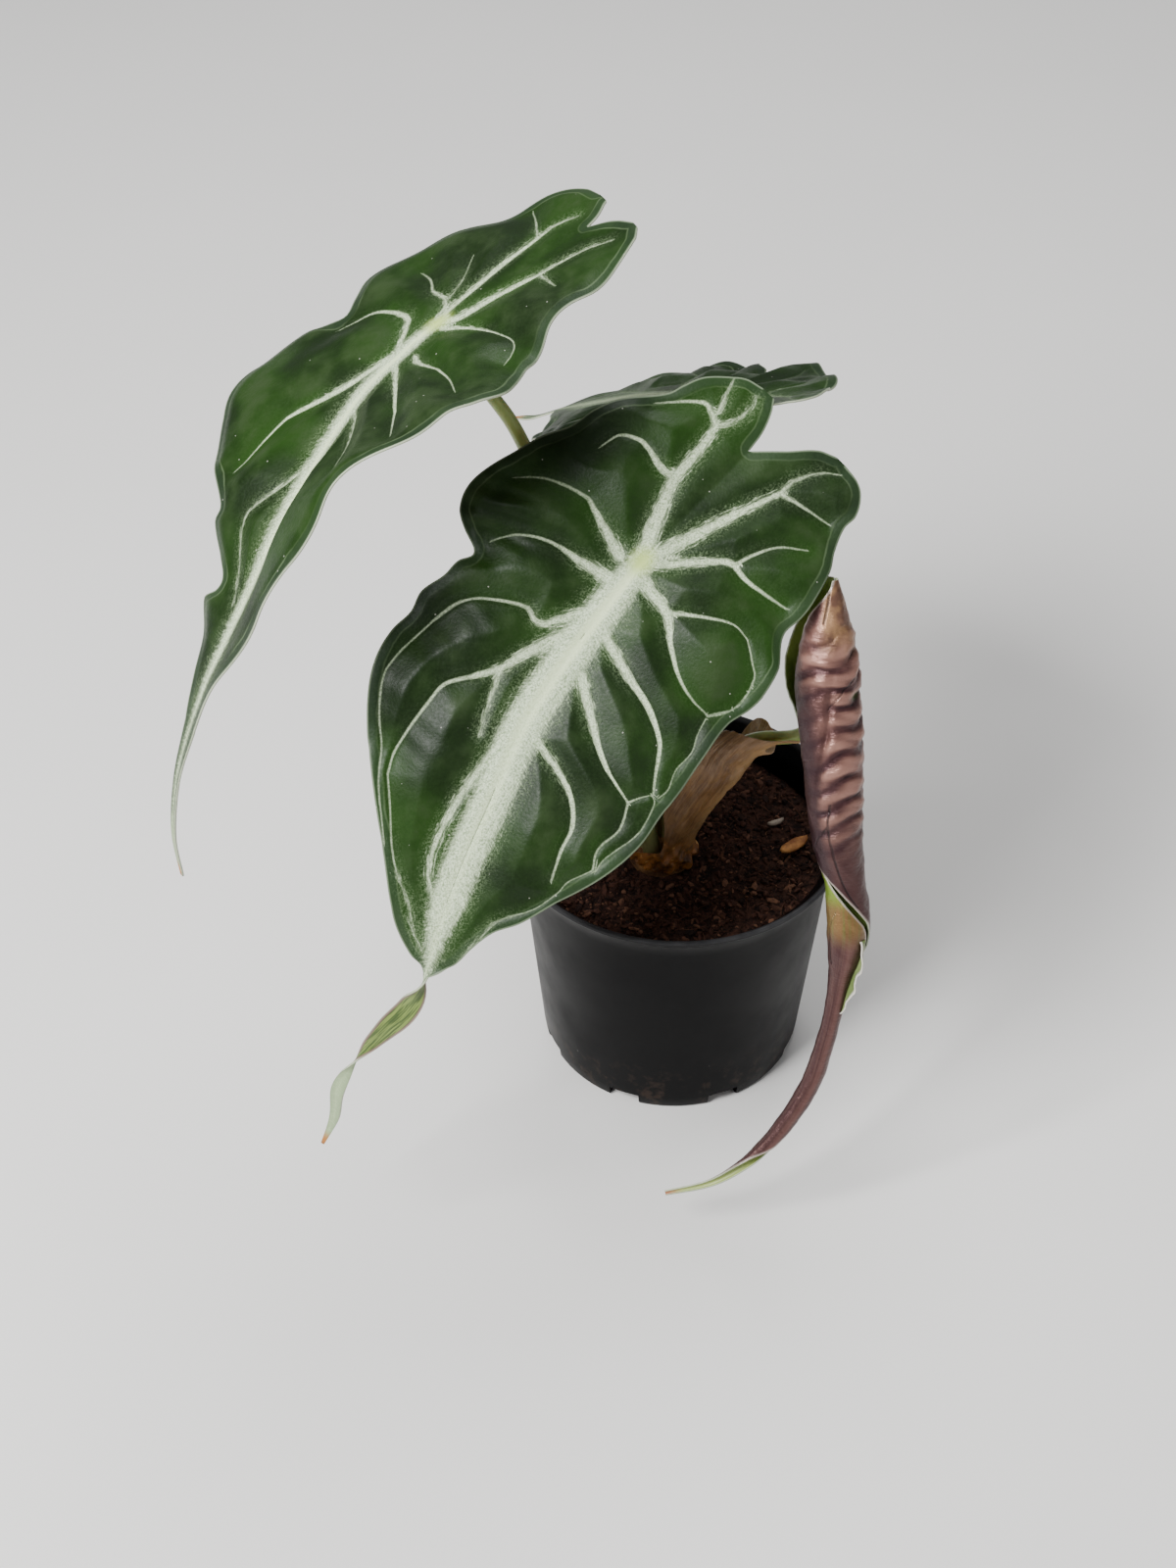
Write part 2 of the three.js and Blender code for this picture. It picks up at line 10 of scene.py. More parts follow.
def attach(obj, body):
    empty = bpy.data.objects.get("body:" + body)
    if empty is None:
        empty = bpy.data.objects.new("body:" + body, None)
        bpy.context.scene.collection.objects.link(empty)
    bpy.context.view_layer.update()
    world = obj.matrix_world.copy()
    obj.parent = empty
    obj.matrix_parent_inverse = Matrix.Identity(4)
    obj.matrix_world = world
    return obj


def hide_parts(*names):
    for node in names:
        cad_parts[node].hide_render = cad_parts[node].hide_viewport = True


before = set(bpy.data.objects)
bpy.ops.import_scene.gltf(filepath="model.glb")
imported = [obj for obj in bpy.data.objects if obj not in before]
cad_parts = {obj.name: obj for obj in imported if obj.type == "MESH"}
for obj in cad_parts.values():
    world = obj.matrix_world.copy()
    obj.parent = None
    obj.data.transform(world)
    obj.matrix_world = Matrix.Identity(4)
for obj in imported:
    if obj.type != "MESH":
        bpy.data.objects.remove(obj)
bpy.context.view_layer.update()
mm = 0.001   # sizes in the dictionaries are millimetres, Blender's are metres
print("frame loaded")


# Camera: it looks down at the rim of the pot, level from left to right
camera = {
    "place": (-21.7, -437.8, 481.2),
    "pitch": 42.4,             # degrees below the horizon
    "lens": 56.25,             # for a sensor of 36 mm along the picture's long side
}

cameraData = bpy.data.cameras.new("camera")
cameraData.lens = camera["lens"]
cameraData.sensor_width = 36
cameraData.clip_start = 0.01
cameraObject = bpy.data.objects.new("camera", cameraData)
cameraObject.location = [value * mm for value in camera["place"]]
cameraObject.rotation_euler = (math.radians(90 - camera["pitch"]), 0, 0)
bpy.context.collection.objects.link(cameraObject)
bpy.context.scene.camera = cameraObject


# Small helpers: smooth values along a list, and middle lines
def smoothValue(points, s):
    xs = np.array([p[0] for p in points], float)
    ys = np.array([p[1] for p in points], float)
    if len(xs) == 1:
        return np.full(np.shape(s), ys[0])
    lower = np.maximum(np.arange(len(xs)) - 1, 0)
    upper = np.minimum(np.arange(len(xs)) + 1, len(xs) - 1)
    slope = (ys[upper] - ys[lower]) / (xs[upper] - xs[lower])
    s = np.clip(np.asarray(s, float), xs[0], xs[-1])
    i = np.clip(np.searchsorted(xs, s, side="right") - 1, 0, len(xs) - 2)
    span = xs[i + 1] - xs[i]
    t = (s - xs[i]) / span
    rise = t * t * (3 - 2 * t)
    bend = span * (slope[i] * t * (1 - t) ** 2 - slope[i + 1] * t * t * (1 - t))
    return ys[i] * (1 - rise) + ys[i + 1] * rise + bend


def smoothStep(low, high, value):
    t = np.clip((value - low) / (high - low), 0, 1)
    return t * t * (3 - 2 * t)


def smoothCurve(points, steps=40):
    p = np.array(points, float)
    p = np.vstack([2 * p[0] - p[1], p, 2 * p[-1] - p[-2]])
    t = np.linspace(0, 1, steps, endpoint=False)[:, None]
    parts = []
    for a, b, c, d in zip(p, p[1:], p[2:], p[3:]):
        parts.append(0.5 * (2 * b + (c - a) * t + (2 * a - 5 * b + 4 * c - d) * t ** 2
                            + (3 * b - a - 3 * c + d) * t ** 3))
    return np.vstack(parts + [p[-2:-1]])


def unit(vectors):
    return vectors / np.linalg.norm(vectors, axis=-1, keepdims=True)


# The way along a line of points, 0 at its start
def travelled(points):
    return np.concatenate([[0], np.cumsum(np.linalg.norm(np.diff(points, axis=0), axis=1))])


# Point, right and up of a leaf's middle line at the distances v from its stalk
def middleLine(leaf, v, soften=0):
    curve = smoothCurve(leaf["axis"])
    lengths = travelled(curve)
    lengths -= lengths[40 * leaf.get("attach", 0)]
    tangents = unit(np.gradient(curve, lengths, axis=0))
    if soften:
        away = lengths[None, :] - lengths[:, None]
        tangents = unit(np.exp(-(away / soften) ** 2) @ tangents)
    inside = np.clip(v, lengths[0], lengths[-1])
    point = np.stack([np.interp(inside, lengths, curve[:, k]) for k in range(3)], -1)
    tangent = unit(np.stack([np.interp(inside, lengths, tangents[:, k]) for k in range(3)], -1))
    point += tangent * (v - inside)[:, None]
    spread = leaf["spread"]
    right = np.stack([smoothValue([(row[0], row[k]) for row in spread], v) for k in (1, 2, 3)], -1)
    right = unit(right - tangent * np.sum(right * tangent, axis=1)[:, None])
    if "twist" in leaf:
        angle = np.radians(smoothValue(leaf["twist"], v))[:, None]
        right = right * np.cos(angle) + np.cross(tangent, right) * np.sin(angle)
    return point, right, np.cross(tangent, right)


def addMesh(name, bm, materials=()):
    mesh = bpy.data.meshes.new(name)
    bm.to_mesh(mesh)
    bm.free()
    for material in materials:
        mesh.materials.append(material)
    added = bpy.data.objects.new(name, mesh)
    bpy.context.collection.objects.link(added)
    return added


# A thickness makes a wall of an open sheet. Three materials are then its top, its underside and its rim
def makeObject(name, bm, materials, nodes=(), smooth=True, thickness=0):
    piece = addMesh(name, bm, materials)
    piece.data.polygons.foreach_set("use_smooth", [smooth] * len(piece.data.polygons))
    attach(piece, "root")
    if nodes:
        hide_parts(*nodes)
    if thickness:
        shell = piece.modifiers.new("thickness", "SOLIDIFY")
        shell.thickness = thickness * mm
        shell.offset = 0
        if len(materials) == 3:
            shell.material_offset = 1
            shell.material_offset_rim = 2
    print("made", name)
    return piece


# An open grid whose points are moved to "place". Each of the values is stored as a point attribute
def gridPiece(bm, place, values, flip=False):
    rows, columns = place.shape[0] - 1, place.shape[1] - 1
    store = bm.verts.layers.float
    layers = {name: store.get(name) or store.new(name) for name in values}
    made = bmesh.ops.create_grid(bm, x_segments=columns, y_segments=rows, size=1)["verts"]
    for vert in made:
        column = round((vert.co.x + 1) / 2 * columns)
        row = round((vert.co.y + 1) / 2 * rows)
        vert.co = place[row, column]
        for name, layer in layers.items():
            vert[layer] = values[name][row, column]
    if flip:
        faces = list({face for vert in made for face in vert.link_faces})
        bmesh.ops.reverse_faces(bm, faces=faces)


# Leaf coordinates: v runs from the stalk to the tip, u across, both in mm, the left half negative
leftLeaf = {
    "axis": [
        (-21.7, 22, 220), (-38.3, 15, 212), (-53.3, 8, 205.3), (-62, 1, 201), (-68.5, -6, 197.5),
        (-74.7, -14.5, 192), (-80.5, -24, 186.5), (-86, -32.5, 180), (-90.5, -40, 172.5),
        (-96, -46.5, 163.5), (-100.5, -50.5, 155.5), (-105.5, -54, 143), (-108.5, -56, 132.5),
        (-110.5, -57, 119), (-110, -57, 106),
    ],
    "attach": 2,
    "spread": [
        (-45, 0.34, -0.93, 0.15), (-18, 0.37, -0.92, 0.15), (0, 0.47, -0.86, 0.2), (22, 0.6, -0.72, 0.36),
        (47, 0.58, -0.69, 0.45), (70, 0.45, -0.79, 0.41), (92, 0.33, -0.92, 0.2), (144, 0.54, -0.84, 0.02),
    ],
    "cup": [(-45, 0, 0), (0, -2, -2), (25, 3, 3), (42, 10, 10), (55, 13, 13), (80, 6, 6), (144, 4, 4)],
    "left": [
        (-44.2, 9), (-43, 14), (-38, 20), (-32, 24), (-24, 25.5), (-18, 29), (-10, 35), (-3, 38), (1, 37),
        (4, 32), (7, 28.5), (9.5, 32.5), (13, 39.5), (17, 42.8), (23, 43.5), (30, 41.5), (37, 36.5), (46, 30),
        (53, 22.5), (56, 20.5), (59, 21.5), (66, 16.5), (71.5, 12), (74.5, 12.5), (78, 16.5), (86, 11),
        (95, 6), (102, 3.6),
    ],
    "right": [
        (-45, 13), (-43, 16.5), (-36, 20.5), (-30, 23), (-24, 23.5), (-18, 25.5), (-13, 29.5), (-6, 33.5),
        (3, 38), (12, 41), (22, 41), (30, 39), (38, 35.5), (44, 31), (50, 27.5), (56, 28), (62, 25.5),
        (66, 21.5), (72, 17), (76, 15.5), (84, 10), (90, 6.5), (96, 4.4), (102, 3.2),
    ],
    "leftInner": [(-44.2, 4.5), (-41, 1.6), (-37.5, 0)],
    "rightInner": [(-45, 10.5), (-43, 6.6), (-37.5, 0)],
    "drip": [(102, 3.4), (110, 2.3), (118, 1.5), (130, 1), (143.5, 0.5)],
    "neck": 102,
    "wave": 1.1,
    "waveLength": 23,
    "calm": (-2, 20),          # where the right margin hardly waves
    "soften": 13,              # evens out the turn of the right half's rows, so that they don't cross
    "silver": [
        (-3, 1.2), (3, 2), (12, 2.5), (30, 2.5), (50, 2.3), (68, 2.2), (85, 1.8), (102, 0.8), (125, 0.4),
    ],
    "veins": [
        (1.1, 0.6, [(0, 0), (-6, -3), (-16, -6), (-28, -8)]),
        (0.5, 0.2, [(-28, -8), (-32.5, -8.4), (-37.5, -6.5)]),
        (0.3, 0.12, [(-28, -8), (-30, -15), (-31, -21)]),
        (1.2, 0.6, [(0, 0), (-4, 3), (-13, 3.6), (-23, 5.8)]),
        (0.5, 0.2, [(-23, 5.8), (-33.5, 7.5), (-39.5, 11)]),
        (0.35, 0.15, [(-23, 5.8), (-23.4, 9.5), (-24, 14)]),
        (0.6, 0.3, [(1, -0.5), (-4.5, -6), (-4, -13)]),
        (0.28, 0.1, [(-4, -13), (-5.2, -18), (-5, -24)]),
        (0.16, 0.08, [(-4.5, -6), (-10, -10), (-15, -16)]),
        (0.7, 0.45, [(10, -1.8), (3.2, -8.4), (3, -14)]),
        (0.45, 0.12, [(3, -14), (5, -21), (10, -27.5)]),
        (1.3, 0.5, [(12.6, -2.4), (23, -8), (32, -17)]),
        (0.45, 0.15, [(32, -17), (39, -20), (47, -22)]),
        (0.6, 0.3, [(40, -1), (43.5, -3), (51, -8)]),
        (0.3, 0.15, [(51, -8), (57, -11.4), (67.5, -7.5), (75, -4)]),
        (0.7, 0.3, [(0.4, 2.8), (-2.3, 7.3), (-6.7, 17)]),
        (0.3, 0.1, [(-6.7, 17), (-8.4, 22.5), (-5, 26.7), (-0.5, 29)]),
        (0.6, 0.3, [(9.8, 5), (11.3, 8.4), (11.6, 17)]),
        (0.4, 0.12, [(11.6, 17), (13.8, 24), (18, 31)]),
        (0.7, 0.4, [(13, 1), (21, 12), (28, 21)]),
        (0.35, 0.12, [(28, 21), (35.5, 27.5)]),
        (0.4, 0.12, [(27, 2), (37, 12), (45, 18)]),
    ],
}

frontLeaf = {
    "axis": [
        (12.7, -2, 179.6), (1.3, -11, 172), (-10.2, -20, 164), (-25, -33, 150), (-35.5, -44, 138.5),
        (-42.7, -54, 125.5), (-48.7, -61, 114), (-53.8, -67, 101.5), (-57.6, -70.5, 87.6), (-61.5, -71, 79),
        (-66.5, -71.5, 73), (-71.5, -72, 66.8), (-75.1, -72, 61), (-78.8, -72, 52.6), (-80.3, -72, 43),
        (-84.1, -72, 32.3),
    ],
    "attach": 2,
    "spread": [
        (-45, 0.89, -0.31, -0.34), (100, 0.89, -0.31, -0.34), (116, 0.8, -0.3, -0.5), (165, 0.9, -0.4, -0.1),
    ],
    "cup": [(0, 0, 0)],
    "left": [
        (-45.2, 7.5), (-44.4, 11), (-42.2, 14), (-38, 18), (-33.5, 20), (-30, 21.3), (-22.5, 27.3),
        (-16.7, 29.7), (-10, 31), (-5, 34), (0, 36), (5, 38), (10, 39), (14.6, 37.5), (17.2, 34),
        (19, 30.2), (20.5, 29.3), (23, 31), (27, 31.6), (32, 33.7), (36, 33.2), (40, 34.5), (45, 34.5),
        (53, 31.7), (62, 28), (70, 23.3), (78, 18.2), (84, 14.7), (89, 12), (95, 8.7), (99.5, 5.2),
        (102, 2), (104, 1),
    ],
    "right": [
        (-45.4, 17), (-44.8, 21), (-42.8, 24), (-39, 26.2), (-35.5, 26.2), (-30.5, 28.2), (-27, 30.3),
        (-20, 32.3), (-15.4, 33), (-10.8, 32.8), (-4.7, 35.9), (-1.5, 37.2), (6.6, 38.3), (11, 37.8),
        (17, 36), (27, 36), (38, 36), (51, 34.6), (57.4, 33.3), (63, 30.2), (69, 26.4), (76, 21.8),
        (83.4, 16.5), (88, 11.6), (94, 8.2), (98.5, 6), (101.5, 3.4), (104, 1),
    ],
    "leftInner": [(-45.2, 4), (-42.6, 2.3), (-38.2, 0.7), (-33.2, 0)],
    "rightInner": [(-45.4, 14.5), (-43.7, 10.7), (-38.5, 5.7), (-33.2, 0)],
    "drip": [
        (104, 1), (108, 1.6), (114, 2.6), (121, 2.7), (128, 1.9), (133, 1), (137, 0.7),
        (142, 1.4), (148, 1.8), (154, 1.5), (160, 0.9), (166.5, 0.4),
    ],
    "twist": [(0, 0), (99, 0), (101, 0), (113, 180), (129, 180), (142, 360), (167, 360)],
    "neck": 104,
    "wave": 0.9,
    "waveLength": 21,
    "silver": [
        (-4, 1.8), (0, 2.6), (14, 3.8), (40, 4.3), (60, 4.1), (85, 3.6), (95, 2), (104, 0.7), (150, 0.4),
    ],
    "veins": [
        (1.8, 1.2, [(0, 0), (-10.7, -4.8), (-17, -7.2)]),
        (1.2, 0.7, [(-17, -7.2), (-21.1, -7.6), (-26.2, -7.9), (-32.2, -8.9)]),
        (0.6, 0.15, [(-32.2, -8.9), (-33.7, -11.8), (-34.1, -13.9), (-32.1, -16.7), (-26.7, -21.7)]),
        (0.5, 0.15, [(-34.9, -10.6), (-39.4, -12.3), (-42.3, -13.2)]),
        (0.5, 0.12, [(-32.2, -8.9), (-35.8, -6.8), (-40.2, -6.3), (-42.5, -7.1)]),
        (0.8, 0.15,
         [(-17.5, -8.8), (-17.3, -11.3), (-18.4, -16.1), (-18.2, -18.8), (-16.1, -22.1), (-11, -23.3)]),
        (1.6, 0.55, [(-0.9, 0.5), (-6.2, 2.6), (-14.8, 5.2), (-23.5, 8.2), (-31.1, 11)]),
        (0.45, 0.15, [(-31.1, 11), (-35.4, 11.5), (-40.3, 14.1), (-43.2, 17.5)]),
        (0.45, 0.15, [(-31.1, 11), (-32.5, 16.4), (-33.9, 23.3)]),
        (1.1, 0.65, [(-0.2, 1.1), (-3.6, 4.9), (-11.7, 12.1), (-13.3, 14.9)]),
        (0.4, 0.15, [(-13.3, 14.9), (-16.7, 16), (-22.2, 18.8), (-26.4, 23.7)]),
        (0.6, 0.15, [(-13.3, 14.9), (-12.8, 18.8), (-13.7, 24.6), (-14.6, 29.5)]),
        (1.6, 0.6, [(3.1, 2), (5.4, 11), (10.2, 15.7)]),
        (0.6, 0.15, [(10.2, 15.7), (14.6, 21), (17.1, 26.2), (18, 31.3)]),
        (0.5, 0.25, [(5.4, 11), (0.4, 18.4), (-2.8, 23.7), (-2.3, 27.9)]),
        (0.25, 0.12, [(-2.3, 27.9), (1.8, 31.9), (4.7, 34.5), (12.1, 35.3), (18, 31.3)]),
        (1.2, 0.22, [(16.7, 1.7), (21.6, 12.8), (24.2, 19.4), (27.7, 24.7), (31.6, 27.7), (42.4, 31.3)]),
        (1.2, 0.3, [(27.6, 4.7), (34.3, 11.9), (40.9, 18.2), (49.3, 27.3)]),
        (0.28, 0.2, [(49.3, 27.3), (56.2, 27.8), (60.9, 25.2), (65, 26.1)]),
        (0.3, 0.15, [(49.3, 27.3), (42.6, 31.4)]),
        (0.9, 0.2,
         [(44.5, 3), (46.5, 6.8), (49.3, 11.2), (53.4, 15.5), (59, 18.3), (63.8, 18.2), (71.3, 19)]),
        (1.3, 0.35, [(2.1, -4.6), (-0.4, -11.4), (-2.4, -17.3)]),
        (0.35, 0.12, [(-2.4, -17.3), (-1.6, -22.3), (0.2, -27.8), (3.4, -32.3)]),
        (1.5, 0.4, [(7.2, -3.1), (8.1, -9.8), (8.4, -15.1)]),
        (0.4, 0.12, [(8.4, -15.1), (9.4, -19.6), (12.1, -24.7), (16, -27.9)]),
        (1.2, 0.4, [(16.5, -3.2), (21.2, -6.7), (23.7, -9.5), (22.4, -13)]),
        (0.4, 0.15, [(22.4, -13), (23.5, -16.5), (26.5, -22.3), (29.5, -25.4), (35.1, -27.9)]),
        (1.6, 0.45, [(21.1, -2.4), (29.6, -7.5), (35.6, -10.4), (40, -14.7)]),
        (0.4, 0.22, [(40, -14.7), (43.5, -18.9), (47.6, -20.3), (53.5, -22), (59.5, -23), (65, -22.4)]),
        (0.22, 0.15, [(65, -22.4), (71.4, -18.9), (81.3, -13.9), (88.4, -8), (93.3, -5.7), (98.4, -2.4)]),
        (0.5, 0.2, [(35.6, -10.4), (48.7, -7.6)]),
        (1, 0.4, [(46.8, -2.1), (61.5, -6.2), (74.2, -7), (81.5, -5.7), (86.7, -2.3)]),
        (0.12, 0.1, [(18.5, 31.4), (15.2, 34.1), (11.1, 35.2), (6.2, 35.1)]),
        (0.12, 0.1, [(18.5, 31.4), (23.1, 32.1), (27.1, 33.3), (32.8, 32.7), (38.8, 33.6), (43, 32.7)]),
        (0.12, 0.1, [(43, 31.1), (45.8, 32.5), (53.2, 32.4), (57.1, 31.1), (61.8, 27.5), (65.1, 26.8)]),
        (0.12, 0.12,
         [(65, 26.1), (69.6, 22.4), (73.6, 21.2), (79.3, 18), (84.9, 11.7), (89.7, 9.5), (97.9, 6.1)]),
        (0.22, 0.2,
         [(29.1, -25.5), (32, -27), (38, -29), (43.7, -31), (46.7, -31.3), (53.4, -28.7), (58, -26.5)]),
        (0.22, 0.15, [(58, -26.5), (66.8, -23.7), (74.9, -19.2), (78.7, -17.2)]),
    ],
    "ripples": [
        {"v": (2, 16), "u": (-38, -20), "length": 4.4, "height": 0.22, "slant": 0.25},
        {"v": (26, 58), "u": (-34, -12), "length": 5.2, "height": 0.08, "slant": -0.2},
    ],
}

rearScale = 0.84


def smaller(rows, parts=(0, 1)):
    return [tuple(value * rearScale if k in parts else value for k, value in enumerate(row)) for row in rows]


rearLeaf = {
    "axis": [
        (15.3, 22.4, 175.9), (11.7, 31.4, 170.4), (6.8, 41.8, 164.4), (-7.3, 67.4, 148.5),
        (-20.1, 90.7, 130.6), (-29.3, 105.3, 118.8), (-35.7, 112.3, 111.8), (-39.9, 115.3, 109.6),
    ],
    "attach": 2,
    "spread": [(-38, -0.88, -0.42, 0), (30, -0.86, -0.45, -0.06), (60, -0.84, -0.48, -0.15)],
    "cup": [(-38, -3, -3), (40, -4, -4), (105, 0, 0)],
    "drip": [(87, 1), (94, 1.3), (101, 1), (107, 0.4)],
    "neck": 87,
    "wave": 1.2,
    "waveLength": 19,
    "silver": smaller(frontLeaf["silver"][:-1]),
    "veins": [(a * 0.75, b * 0.75, smaller(route)) for a, b, route in frontLeaf["veins"]],
    "leftInner": [(-38, 4), (-36.5, 1), (-35, 0)],
    "rightInner": [(-38.1, 12.2), (-37, 6), (-35, 0)],
}
for key in ("left", "right"):
    rearLeaf[key] = smaller(frontLeaf[key])

blade = {
    "thickness": 0.45,
    "columns": 68,             # faces across each half
    "lobeRows": 40,
    "rows": 236,
    "tipRows": 50,
    "fullWidth": 30,           # a narrower half gets less of the relief below
    "bulge": 1.6,
    "quilt": 1.7,              # how far the fields between the veins stand up
    "sink": 0.3,               # how far the veins lie below them
    "groove": 0.35,            # how far the midrib lies below the halves
}


# Where each point (v, u) lies beside the line from a to b: its share of the way, and its distance
def besideLine(a, b, v, u):
    d = b - a
    share = np.clip(((v - a[0]) * d[0] + (u - a[1]) * d[1]) / max(d @ d, 1e-9), 0, 1)
    return share, np.hypot(v - a[0] - share * d[0], u - a[1] - share * d[1])


# For each point of a leaf, in mm: "gap" is how far outside the nearest vein it is, "width" that vein's
# half width, "offset" the way to its middle with a sign for the side, "run" the way along it
def veinField(veins, v, u):
    field = {key: np.full(v.shape, 99.0) for key in ("gap", "width", "offset", "run")}
    for startWidth, endWidth, route in veins:
        line = smoothCurve(route, 4)
        reach = travelled(line)
        widths = startWidth + (endWidth - startWidth) * reach / reach[-1]
        for k, (a, b) in enumerate(zip(line, line[1:])):
            share, distance = besideLine(a, b, v, u)
            width = widths[k] + (widths[k + 1] - widths[k]) * share
            near = distance - width < field["gap"]
            sign = np.sign((b - a)[0] * (u - a[1]) - (b - a)[1] * (v - a[0]))
            found = {"gap": distance - width, "width": width, "offset": distance * sign,
                     "run": reach[k] + (reach[k + 1] - reach[k]) * share}
            for key, value in found.items():
                field[key] = np.where(near, value, field[key])
    return field


# Low folds in the windows that a leaf's "ripples" give
def rippleHeight(leaf, v, u):
    height = np.zeros(v.shape)
    for fold in leaf.get("ripples", []):
        (v0, v1), (u0, u1) = fold["v"], fold["u"]
        window = smoothStep(v0 - 4, v0 + 4, v) * (1 - smoothStep(v1 - 4, v1 + 4, v))
        window = window * smoothStep(u0 - 3, u0 + 5, u) * (1 - smoothStep(u1 - 5, u1 + 3, u))
        phase = 2 * math.pi * (v + fold["slant"] * u) / fold["length"]
        height += fold["height"] * window * np.sin(phase + 0.6 * np.sin(0.3 * np.abs(u)))
    return height


# The points of one half of a blade, row by row from the back lobe to the tip
def halfBlade(leaf, side):
    outer = leaf["right"] if side > 0 else leaf["left"]
    inner = leaf["rightInner"] if side > 0 else leaf["leftInner"]
    notch, neck, tip = inner[-1][0], leaf["neck"], leaf["drip"][-1][0]
    turn = np.linspace(0, 1, blade["lobeRows"], endpoint=False)
    lobe = notch + (outer[0][0] - notch) * np.cos(turn * math.pi / 2)
    body = np.linspace(notch, neck, blade["rows"], endpoint=False)
    v = np.concatenate([lobe, body, np.linspace(neck, tip, blade["tipRows"] + 1)])
    edge = np.where(v > neck, smoothValue(leaf["drip"], v), smoothValue(outer, v))
    start = np.where(v < notch, smoothValue(inner, v), 0)
    share = np.linspace(0, 1, blade["columns"] + 1)[None, :]
    u = start[:, None] + (edge - start)[:, None] * share
    vGrid = np.repeat(v[:, None], share.shape[1], axis=1)
    field = veinField(leaf["veins"], vGrid, side * u)
    field["band"] = smoothValue(leaf["silver"], vGrid) - 9 * smoothStep(-2, -6, vGrid)
    gap = np.minimum(field["gap"], u - field["band"])
    point, right, up = middleLine(leaf, v)
    if side > 0 and "soften" in leaf:
        right = middleLine(leaf, v, leaf["soften"])[1]
    lift = np.radians(smoothValue([(row[0], row[2 if side > 0 else 1]) for row in leaf["cup"]], v))[:, None]
    full = np.minimum(1, edge / blade["fullWidth"])[:, None]
    part = u / edge[:, None]
    wavePhase = 2 * math.pi * vGrid / leaf["waveLength"] + (1.1 if side > 0 else 0)
    wave = leaf["wave"] * full * part ** 2 * np.sin(wavePhase)
    if side > 0 and "calm" in leaf:
        low, high = leaf["calm"]
        wave = wave * (1 - 0.9 * smoothStep(low - 8, low, vGrid) * (1 - smoothStep(high, high + 8, vGrid)))
    inside = smoothStep(0, 5, edge[:, None] - u) * smoothStep(0, 6, u)
    relief = wave + blade["bulge"] * full ** 2 * np.sin(math.pi * part)
    relief += blade["quilt"] * full * inside * (smoothStep(-0.8, 8, gap) - 0.5)
    relief -= blade["sink"] * full * (1 - smoothStep(-0.4, 0.8, gap)) * smoothStep(0.5, 3, u)
    relief -= blade["groove"] * full * (1 - smoothStep(0, 2.4, u)) * smoothStep(-4, 2, vGrid)
    relief += rippleHeight(leaf, vGrid, side * u)
    out = (side * u * np.cos(lift))[..., None] * right[:, None, :]
    rise = (u * np.sin(lift) + relief)[..., None] * up[:, None, :]
    field.update({"along": vGrid, "across": side * u, "tip": tip - vGrid, "tail": vGrid - neck})
    field["rimGap"] = rimDistance(vGrid, u, start, edge, v < notch)
    return (point[:, None, :] + out + rise) * mm, field


# Distance of each point from the outline of its half, in mm. "split" marks the rows beside the notch
def rimDistance(v, u, start, edge, split):
    best = np.full(v.shape, 99.0)
    for route in (np.stack([v[:, 0], edge], -1), np.stack([v[:, 0], start], -1)[split]):
        for a, b in zip(route, route[1:]):
            distance = besideLine(a, b, v, u)[1]
            best = np.where(np.abs(v - a[0]) < 12, np.minimum(best, distance), best)
    return best


def makeBlade(name, leaf, materials, node):
    bm = bmesh.new()
    for side in (-1, 1):
        gridPiece(bm, *halfBlade(leaf, side), side > 0)
    bmesh.ops.remove_doubles(bm, verts=bm.verts, dist=2e-6)
    makeObject(name, bm, materials, [node], thickness=blade["thickness"])


# A node's output, which can be added, multiplied and so on like a number
class Value:
    def __init__(self, shader, socket):
        self.shader = shader
        self.socket = socket

    def __add__(self, other):
        return self.shader.math("ADD", self, other)

    def __sub__(self, other):
        return self.shader.math("SUBTRACT", self, other)

    def __mul__(self, other):
        return self.shader.math("MULTIPLY", self, other)

    def __truediv__(self, other):
        return self.shader.math("DIVIDE", self, other)

    def __abs__(self):
        return self.shader.math("ABSOLUTE", self)

    def atLeast(self, other):
        return self.shader.math("MAXIMUM", self, other)

    def atMost(self, other):
        return self.shader.math("MINIMUM", self, other)

    # A smooth step: to0 where the value is at low, to1 where it is at high
    def ramp(self, low, high, to0=0, to1=1):
        node = self.shader.add("ShaderNodeMapRange", interpolation_type="SMOOTHSTEP")
        return self.shader.feed(node, self, low, high, to0, to1)

    def mix(self, share, other):
        return self.shader.mix(share, self, other)


